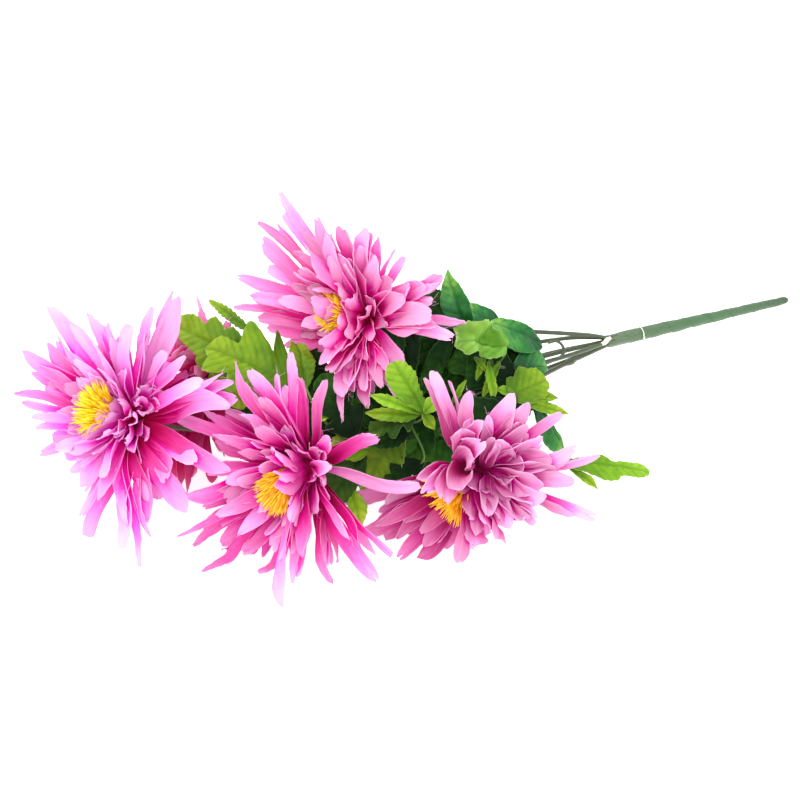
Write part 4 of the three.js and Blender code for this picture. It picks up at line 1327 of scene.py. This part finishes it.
# Adds a blade of a leaf. Its place gives a foot, and which way is along, left and up.
def addBlade(pile, place, blade, chance):
    start, end = Vector(blade["foot"]), Vector(blade["tip"])
    length = (end - start).length
    ahead = (end - start) / length
    left = Vector((-ahead.y, ahead.x))
    teeth = max(3, round(length / leafCut["pitch"]))
    rows, columns = teeth * leafCut["rowsPerTooth"], blade.get("columns", leafCut["columns"])
    wave, phase = chance.uniform(*leafCut["wave"]), chance.uniform(0, 6)
    fold, droop = chance.uniform(*leafCut["fold"]), chance.uniform(*leafCut["droop"]) * length
    crumple = blade.get("crumple", leafCut["crumple"])
    tone = chance.random()
    cells = []
    for i in range(rows + 1):
        u = i / rows
        bite = blade["tooth"] * (1 - (u * teeth) % 1) * min(1, 4 * (1 - u))
        row = []
        for j in range(columns + 1):
            s = 2 * j / columns - 1
            half = outlineAt(blade["left"] if s > 0 else blade["right"], u)
            half = max(leafCut["least"], half - bite * min(1, half / leafCut["fullTooth"]))
            across = s * half
            along = u * length + blade["sweep"] * abs(across) * (1 - leafCut["sweepBack"] * abs(s))
            run = start + ahead * along + left * across
            share = min(1.0, max(0.0, run.x / place["length"]))
            veined = math.pi * (along - leafCut["slant"] * abs(across)) / leafCut["veins"]
            rib = abs(math.sin(veined)) ** 0.5
            middle = 1 - bell(across, leafCut["rib"])
            lift = place["arch"] * 4 * share * (1 - share) + blade.get("raise", 0) - droop * u ** 3
            puffed = rib * middle * min(1, half / leafCut["fullPuff"]) - leafCut["ribSunk"] * (1 - middle)
            lift += leafCut["puff"] * puffed
            lift += fold * abs(across) - fold * across * across * leafCut["flatten"]
            waved = wave * math.sin(phase + leafCut["waves"] * u + (2 if s > 0 else 0))
            lift += waved * s * s * half * leafCut["waveHeight"]
            crumpled = Vector((run.x * leafCut["crumples"], run.y * leafCut["crumples"], phase))
            lift += crumple * noise.noise(crumpled)
            spot = place["way"] * run.x + place["side"] * run.y + place["up"] * lift
            spot = onTable(place["foot"] + spot * mm)
            dye = 1 - u if "turned" in blade else u
            row.append((spot, (dye, s, min(rib, middle), run.y * mm, run.x * mm)))
        cells.append(row)
    addSheet(pile, cells, leafCut["thick"], tone)


# Where a leaf lies is read from its node: the end with the stalk is the narrow one.
def leafPlace(node):
    points = pointsOf(node)
    a, b = farthestPair(points)
    length = (b - a).length

    def breadth(end, other):
        way = (other - end).normalized()
        near = [p - end for p in points if (p - end).dot(way) < 0.12 * length]
        return sum(squareTo(way, p).length for p in near) / len(near)

    if breadth(a, b) > breadth(b, a):
        a, b = b, a
    way = (b - a).normalized()
    first = way.orthogonal().normalized()
    second = way.cross(first)
    centre = middleOf(points)
    flat = [((p - centre).dot(first), (p - centre).dot(second)) for p in points]
    angle = 0.5 * math.atan2(2 * sum(x * y for x, y in flat), sum(x * x - y * y for x, y in flat))
    side = circling(first, second, angle)
    up = way.cross(side)
    hump = [(p - a).dot(up) for p in points if 0.3 < (p - a).dot(way) / length < 0.7]
    if sum(hump) < 0:
        side, up = -side, -up
    return {"foot": a, "way": way, "side": side, "up": up, "length": length / mm,
            "arch": abs(sum(hump) / len(hump)) / mm}


# Stems

# A node's rings have ring points each. Near the fork the wires are drawn together, and they run on inside
# the tape.
wire = {"radius": 1.3, "sides": 10, "uneven": 0.05, "lumps": 400,
        "ring": 7, "draw": 0.82, "drawn": 5, "inside": 9}


# The middle of each ring of a stem's node, from the fork outwards.
def stemPath(node):
    points = sorted(pointsOf(node), key=lambda p: -p.x)
    return [middleOf(points[i:i + wire["ring"]]) for i in range(0, len(points), wire["ring"])]


def finer(path, steps):
    fine = []
    for i in range(len(path) - 1):
        before = path[max(i - 1, 0)]
        a, b = path[i], path[i + 1]
        after = path[min(i + 2, len(path) - 1)]
        for k in range(steps):
            t = k / steps
            fine.append(0.5 * (2 * a + (b - before) * t + (2 * before - 5 * a + 4 * b - after) * t * t
                               + (3 * a - before - 3 * b + after) * t ** 3))
    return fine + [path[-1]]


def alongPath(path, share):
    lengths = [(b - a).length for a, b in zip(path, path[1:])]
    left = share * sum(lengths)
    for a, b, step in zip(path, path[1:], lengths):
        if left <= step:
            return a.lerp(b, left / step), (b - a).normalized()
        left -= step
    return path[-1].copy(), (path[-1] - path[-2]).normalized()


stemNames = [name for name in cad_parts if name.startswith("stem_")]
stemPaths = {}
for name in sorted(stemNames):
    path = finer(stemPath(name), 4)
    offset = squareTo(handleWay, path[0] - fork)
    drawn = offset * wire["draw"] ** 2
    inner = [fork + handleWay * d * mm + drawn for d in (wire["inside"], wire["inside"] / 2)]
    for i, spot in enumerate(path[:wire["drawn"]]):
        path[i] = spot - offset * (1 - wire["draw"]) * (1 - i / wire["drawn"])
    stemPaths[name] = inner + path


# A cut side shoot that loops back over the stems, by where it shows, and the knob where one was cut off.
shoot = {"stem": "stem_leaf_high", "share": 0.5, "thick": 0.85, "lift": 3.5, "sides": 8,
         "way": ((548, 343), (556, 341), (562, 345), (564, 352), (559, 358), (550, 362), (542, 365))}
knob = {"stem": "stem_right", "at": 0.225, "swell": 0.7}


def addShoot(material):
    root = alongPath(stemPaths[shoot["stem"]], shoot["share"])[0] + view["back"] * shoot["lift"] * mm
    path = finer([reachTo(root, x, y, 0) for x, y in shoot["way"]], 4)
    pile = newPile()
    addTube(pile, path, [shoot["thick"] * mm] * len(path), shoot["sides"], 0.2)
    makePiece("sideShoot", pile, material)


def buildStems(material):
    chance = random.Random(2)
    addShoot(material)
    for name, path in stemPaths.items():
        pile = newPile()
        radii = [wire["radius"] * mm * (1 + wire["uneven"] * noise.noise(p * wire["lumps"])) for p in path]
        if name == knob["stem"]:
            place = round(knob["at"] * len(path))
            for i in (place, place + 1):
                radii[i] *= 1 + knob["swell"]
        addTube(pile, path, radii, wire["sides"], chance.random())
        makePiece(name.replace("_", "") + "Wire", pile, material, [name])


def isInside(ring, spot):
    crossings = 0
    for (x, y), (nextX, nextY) in zip(ring, ring[1:] + ring[:1]):
        if (y > spot.y) != (nextY > spot.y) and spot.x < x + (spot.y - y) * (nextX - x) / (nextY - y):
            crossings += 1
    return crossings % 2 == 1


def addFilling(pile, foot, way, up, length, shape, chance):
    up = squareTo(way, up + Vector(fillLeaves["faceUp"])).normalized()
    place = {"foot": foot, "way": way, "side": up.cross(way), "up": up, "length": length,
             "arch": chance.uniform(*fillLeaves["arch"])}
    blade = {"foot": (0, 0), "tip": (length, 0), "sweep": shape["sweep"], "tooth": shape["tooth"],
             "columns": leafCut["fillColumns"]}
    for edge in ("left", "right"):
        blade[edge] = [(u, half * length) for u, half in shape[edge]]
    addBlade(pile, place, blade, chance)


# Room for a filling leaf: inside the outline, clear of the heads and not turned much towards the eye.
def isRoom(spot, way):
    tip = spot + way * fillLeaves["length"][1] * mm
    place = pixelOf(tip)
    toEye = fillLeaves["toEye"][place.x > fillLeaves["rightOf"]]
    return (isInside(fillLeaves["outline"], place) and way.dot(view["back"]) < toEye
            and all((tip - head["hub"]).length > fillLeaves["clear"] * mm for head in heads.values()))


# A thin stalk to a leaf's foot, leaving the stem towards the heads: from the nearest stem, or from a
# place named here by its share of the stem's length.
stalk = {"steps": 16, "sides": 6, "thick": (0.9, 0.6), "leave": 0.4, "arrive": 0.3, "into": 3, "favour": 0.3}
stalkRoots = {"leaf_long_right": ("stem_right", 0.9), "leaf_round_right": ("stem_right", 0.66)}


def nearestStem(foot):
    spots = [(spot, (path[i + 1] - spot).normalized()) for path in stemPaths.values()
             for i, spot in enumerate(path[:-1]) if i > 4]

    def cost(place):
        spot, ahead = place
        return (spot - foot).length - stalk["favour"] * (foot - spot).dot(ahead)

    return min(spots, key=cost)


def addStalk(pile, foot, way, root=None):
    near, ahead = alongPath(stemPaths[root[0]], root[1]) if root else nearestStem(foot)
    gap = (foot - near).length
    a, b = near + ahead * gap * stalk["leave"], foot - way * gap * stalk["arrive"]
    reach = foot + way * stalk["into"] * mm
    path, radii = [], []
    for k in range(stalk["steps"] + 1):
        t = k / stalk["steps"]
        spot = near * (1 - t) ** 3 + a * 3 * t * (1 - t) ** 2 + b * 3 * t * t * (1 - t) + reach * t ** 3
        path.append(onTable(spot))
        radii.append(mix(*stalk["thick"], t) * mm)
    addTube(pile, path, radii, stalk["sides"], 0.5)


def buildLeaf(node, parts, materials, stalks, chance):
    place = leafPlace(node)
    piles = {}
    for blade in parts:
        addBlade(piles.setdefault(blade["dye"], newPile()), place, blade, chance)
    first, *others = node.split("_")
    label = first + "".join(word.capitalize() for word in others)
    for dye, pile in piles.items():
        name = label if len(piles) == 1 else label + dye.capitalize()
        makePiece(name, pile, materials[dye], [node])
    (along, across), (farAlong, farAcross) = parts[0]["foot"], parts[0]["tip"]
    foot = place["foot"] + (place["way"] * along + place["side"] * across) * mm
    ahead = (place["way"] * (farAlong - along) + place["side"] * (farAcross - across)).normalized()
    addStalk(stalks, foot, ahead, stalkRoots.get(node))


# Filling leaves all round the stems, wherever a few tries find room.
def scatterFillings(fills, chance):
    for name, (count, near, far) in fillLeaves["stems"].items():
        path = [spot for spot in stemPaths[name] if near * mm < (spot - fork).length < far * mm]
        for i in range(count):
            spot, ahead = alongPath(path, (i + 0.5) / count)
            right = ahead.cross(upward).normalized()
            for _ in range(fillLeaves["tries"]):
                turn = chance.uniform(0, 2 * math.pi)
                out = circling(right, right.cross(ahead), turn)
                lean = math.radians(fillLeaves["lean"] + chance.uniform(*fillLeaves["leans"]))
                way = ahead * math.cos(lean) + out * math.sin(lean)
                if isRoom(spot, way):
                    break
            else:
                continue
            length = chance.uniform(*fillLeaves["length"])
            shape = chance.choice(fillLeaves["shapes"])
            # Painted shade: scattered filling leaves are all dark green, standing for the shade deep in the
            # bunch as well as for dark leaves.
            pile = fills.setdefault("deep", newPile())
            addFilling(pile, spot + out * fillLeaves["off"] * mm, way, out * 0.4, length, shape, chance)


# A filling leaf from one point to another. Gives back the way it goes.
def stretchFilling(fills, start, end, dye, shape, chance):
    run = end - start
    pile = fills.setdefault(dye, newPile())
    addFilling(pile, start, run.normalized(), Vector(), run.length / mm, fillLeaves["shapes"][shape], chance)
    return run.normalized()


def placeFillings(fills, stalks, chance):
    for name, share, x, y, dye, shape in fillLeaves["placed"]:
        spot = alongPath(stemPaths[name], share)[0]
        stretchFilling(fills, spot, reachTo(spot, x, y, 0), dye, shape, chance)
    stem, share = fillLeaves["over"]
    for foot, tip, dye, shape, *own in fillLeaves["raised"]:
        height = own[0] if own else fillLeaves["raise"]
        root = alongPath(stemPaths[stem], share)[0] + view["back"] * height * mm
        start = reachTo(root, *foot, 0)
        way = stretchFilling(fills, start, reachTo(root, *tip, 0), dye, shape, chance)
        addStalk(stalks, start, way)


def buildLeaves(materials, stalkMaterial):
    stalks, fills = newPile(), {}
    chance = random.Random(fillLeaves["seed"])
    for node, parts in blades.items():
        buildLeaf(node, parts, materials, stalks, chance)
    scatterFillings(fills, chance)
    placeFillings(fills, stalks, chance)
    for dye, pile in fills.items():
        makePiece(f"fillLeaves{dye.capitalize()}", pile, materials[dye])
    makePiece("leafStalks", stalks, stalkMaterial)


# The handle's tape: overlapping turns, slightly lumpy over the wires inside, whose ridges fade away from
# the fork. Along each seam the tape is painted darker, a painted shade where one turn steps over the next.
# Its radius is read from the node's own rings.
tape = {"rings": 170, "sides": 40, "spans": 6, "pitch": 17, "step": 0.32, "seam": 0.035,
        "lump": 0.34, "lumps": 120, "wires": 6, "twist": 30, "ridges": 0.3, "ridgeFade": 18,
        "taper": 1.1, "taperFade": 5, "tail": 3, "blunt": 0.1}


def tapeRings():
    points = pointsOf("handle_wrap")
    spans = {}
    for p in points:
        d = (p - fork).dot(handleWay)
        radius = ((p - fork) - handleWay * d).length
        key = round(d / handleLength * tape["spans"])
        spans[key] = max(spans.get(key, 0), radius)
    return [spans[k] for k in sorted(spans)]


def buildTape(material):
    rings = tapeRings()
    pile = newPile()
    right = handleWay.cross(upward).normalized()
    top = right.cross(handleWay)
    rows, sides = tape["rings"], tape["sides"]
    for i in range(rows + 1):
        t = i / rows
        d = t * handleLength
        place = t * (len(rings) - 1)
        low = min(int(place), len(rings) - 2)
        radius = mix(rings[low], rings[low + 1], place - low)
        for k in range(sides):
            angle = 2 * math.pi * k / sides
            wound = (d / mm / tape["pitch"] + k / sides) % 1
            lump = noise.noise(Vector((d * tape["lumps"], math.cos(angle), math.sin(angle)))) * tape["lump"]
            ridges = math.cos(tape["wires"] * angle + d * tape["twist"]) * tape["ridges"]
            ridges *= math.exp(-d / (tape["ridgeFade"] * mm))
            ridges -= tape["taper"] * math.exp(-d / (tape["taperFade"] * mm))
            size = radius + (tape["step"] * (0.5 - wound) + lump + ridges) * mm
            fromTip = (handleLength - d) / mm
            if fromTip < tape["tail"]:
                rounded = math.sqrt(max(0.0, 1 - (1 - fromTip / tape["tail"]) ** 2))
                size *= rounded * (1 - tape["blunt"]) + tape["blunt"]
            pile["points"].append(fork + handleWay * d + circling(right, top, angle) * size)
            # Painted shade: a thin darker line along the seam, carried in the tone.
            seam = bell(min(wound, 1 - wound), tape["seam"])
            addMark(pile, (t, k / sides, wound, angle * radius, d), 0.5 - 0.5 * seam)
    for i in range(rows):
        for k in range(sides):
            a = i * sides + k
            b = i * sides + (k + 1) % sides
            pile["faces"].append((a, a + sides, b + sides, b))
            pile["flat"].append(False)
    pile["faces"].append(tuple(range(sides)))
    pile["faces"].append(tuple(rows * sides + k for k in reversed(range(sides))))
    pile["flat"].extend((True, True))
    makePiece("handleTape", pile, material, ["handle_wrap", "handle_core"])


# A turn of pale thread round the tape.
knot = {"turns": 1.04, "thick": 0.34, "least": 0.8, "uneven": 0.3, "lumps": 900, "steps": 60, "sides": 7,
        "drift": 0.8, "sunk": 1.1}


def buildThread(material):
    points = pointsOf("tie_ring")
    ring = middleOf(points)
    loop = max(squareTo(handleWay, p - ring).length for p in points)
    right = handleWay.cross(upward).normalized()
    top = right.cross(handleWay)
    path = []
    for i in range(knot["steps"] + 1):
        angle = 2 * math.pi * knot["turns"] * i / knot["steps"]
        outward = circling(right, top, angle)
        drift = (i / knot["steps"] - 0.5) * knot["drift"] * mm
        path.append(ring + outward * (loop - knot["thick"] * mm * knot["sunk"]) + handleWay * drift)
    uneven = [knot["least"] + knot["uneven"] * noise.noise(p * knot["lumps"]) for p in path]
    radii = [knot["thick"] * mm * share for share in uneven]
    pile = newPile()
    addTube(pile, path, radii, knot["sides"], 0.8)
    makePiece("tieThread", pile, material, ["tie_ring"])


# A wavy scrap of pale tape at the fork.
scrap = {"length": 8.5, "width": 2.8, "rows": 12, "columns": 4, "thick": 0.3 * mm,
         "way": (0.87, -0.11, 0.41), "face": (-0.4, -0.7, 0.6)}


def buildScrap(material):
    points = pointsOf("glue_scrap")
    a, b = farthestPair(points)
    centre = (a + b) / 2
    way = Vector(scrap["way"]).normalized()
    face = Vector(scrap["face"]).normalized()
    wide = face.cross(way).normalized()
    cells = []
    for i in range(scrap["rows"] + 1):
        t = i / scrap["rows"]
        row = []
        for j in range(scrap["columns"] + 1):
            s = 2 * j / scrap["columns"] - 1
            half = scrap["width"] / 2 * (0.6 + 0.4 * math.sin(math.pi * t))
            half *= 1 + 0.2 * math.sin(9 * t + 2 * s)
            lift = 1.1 * math.sin(5 * t) + 0.5 * s * math.sin(7 * t) + 0.4 * s * s
            spot = centre + (way * scrap["length"] * (t - 0.5) + wide * half * s + face * lift) * mm
            row.append((spot, (t, s, 0.0, half * s * mm, t * scrap["length"] * mm)))
        cells.append(row)
    pile = newPile()
    addSheet(pile, cells, scrap["thick"], 0.7)
    makePiece("glueScrap", pile, material, ["glue_scrap"])


# Floor and light

studio = {"floor": 3.0, "clouds": (0.75, 0.78), "rough": 0.9, "glow": 0.7, "sky": 1.2, "lampSize": 1.2,
          "key": 14, "keyPlace": (-0.7, 0.6, 1.4), "fill": 15, "fillPlace": (-0.8, -1.3, 1.4)}


def buildStage():
    scene = bpy.context.scene
    mesh = bpy.data.meshes.new("floor")
    half = studio["floor"]
    corners = [(-half, -half, 0), (half, -half, 0), (half, half, 0), (-half, half, 0)]
    mesh.from_pydata(corners, [], [(0, 1, 2, 3)])
    floor = bpy.data.objects.new("floor", mesh)
    scene.collection.objects.link(floor)
    nodes = Nodes("paleFloor")
    place = nodes.add("ShaderNodeTexCoord").outputs["Object"]
    cloudy = nodes.span(nodes.noise(place, 3.0), 0.3, 0.7, *studio["clouds"])
    shade = nodes.add("ShaderNodeCombineColor", {0: cloudy, 1: cloudy, 2: cloudy}).outputs[0]
    paper = nodes.add("ShaderNodeBsdfPrincipled", {"Base Color": shade})
    paper.inputs["Roughness"].default_value = studio["rough"]
    paper.inputs["Emission Color"].default_value = (1, 1, 1, 1)
    paper.inputs["Emission Strength"].default_value = studio["glow"]
    mesh.materials.append(nodes.finish(paper.outputs[0]))
    world = bpy.data.worlds.new("studio")
    world.use_nodes = True
    world.node_tree.nodes["Background"].inputs[0].default_value = (1, 1, 1, 1)
    world.node_tree.nodes["Background"].inputs[1].default_value = studio["sky"]
    scene.world = world
    for name, power, place in (("keyLight", "key", "keyPlace"), ("fillLight", "fill", "fillPlace")):
        lamp = bpy.data.objects.new(name, bpy.data.lights.new(name, "AREA"))
        lamp.data.energy = studio[power]
        lamp.data.size = studio["lampSize"]
        lamp.location = studio[place]
        lamp.rotation_euler = Vector(studio[place]).to_track_quat("Z", "Y").to_euler()
        scene.collection.objects.link(lamp)
    scene.view_settings.view_transform = "Standard"


buildCamera()
buildStage()
print("camera and stage ready")

leafMaterials = {}
for dye, shades in leafDyes.items():
    ready = {"along": [colour(*shade) for shade in shades["along"]], "vein": colour(*shades["vein"]),
             "edge": colour(*shades["edge"])}
    rough = shades.get("rough", leafFinish["rough"])
    leafMaterials[dye] = leafMaterial(f"{dye}LeafCloth", ready, rough, shades["shine"])

# The threads' and wires' dyes, from root to end.
plainDyes = {
    "stalk": ((48, 76, 26), (70, 112, 30), (96, 146, 34)),
    "wire": ((62, 84, 48), (60, 68, 42), (52, 58, 34), (60, 80, 38)),
    "tape": ((94, 110, 82), (68, 102, 64), (62, 104, 64), (74, 107, 71), (50, 75, 46)),
    "pale": ((238, 240, 222), (228, 230, 205)),
}
shadesOf = {key: [colour(*shade) for shade in shades] for key, shades in (plainDyes | tuftDyes).items()}
stalkMaterial = threadMaterial("stalkPlastic", shadesOf["stalk"], (0.35, 0.5), 0.1, 0.05 * mm, coat=0.2)
stemMaterial = threadMaterial("stemPlastic", shadesOf["wire"], (0.32, 0.5), 0.12, 0.05 * mm, coat=0.25)
tapeMaterial = threadMaterial("floristTape", shadesOf["tape"], (0.5, 0.75), 0.2, 0.25 * mm, sheen=0.2)
paleMaterial = threadMaterial("paleThread", shadesOf["pale"], (0.6, 0.8), 0.2, 0.1 * mm)
stamenMaterials = {dye: threadMaterial(f"{dye}Stamens", shadesOf[dye], (0.4, 0.6), 0.1, 0.05 * mm)
                   for dye in tuftDyes}
print("materials ready")

for name, head in heads.items():
    head.update(headFrame(name))
    buildPetals(name, head)
    buildStamens(name, head, stamenMaterials)
    buildCalyx(name, head, leafMaterials["lime"])
    print("head built:", name)

buildStems(stemMaterial)
buildLeaves(leafMaterials, stalkMaterial)
print("stems and leaves built")
buildTape(tapeMaterial)
buildThread(paleMaterial)
buildScrap(paleMaterial)
print("handle built")
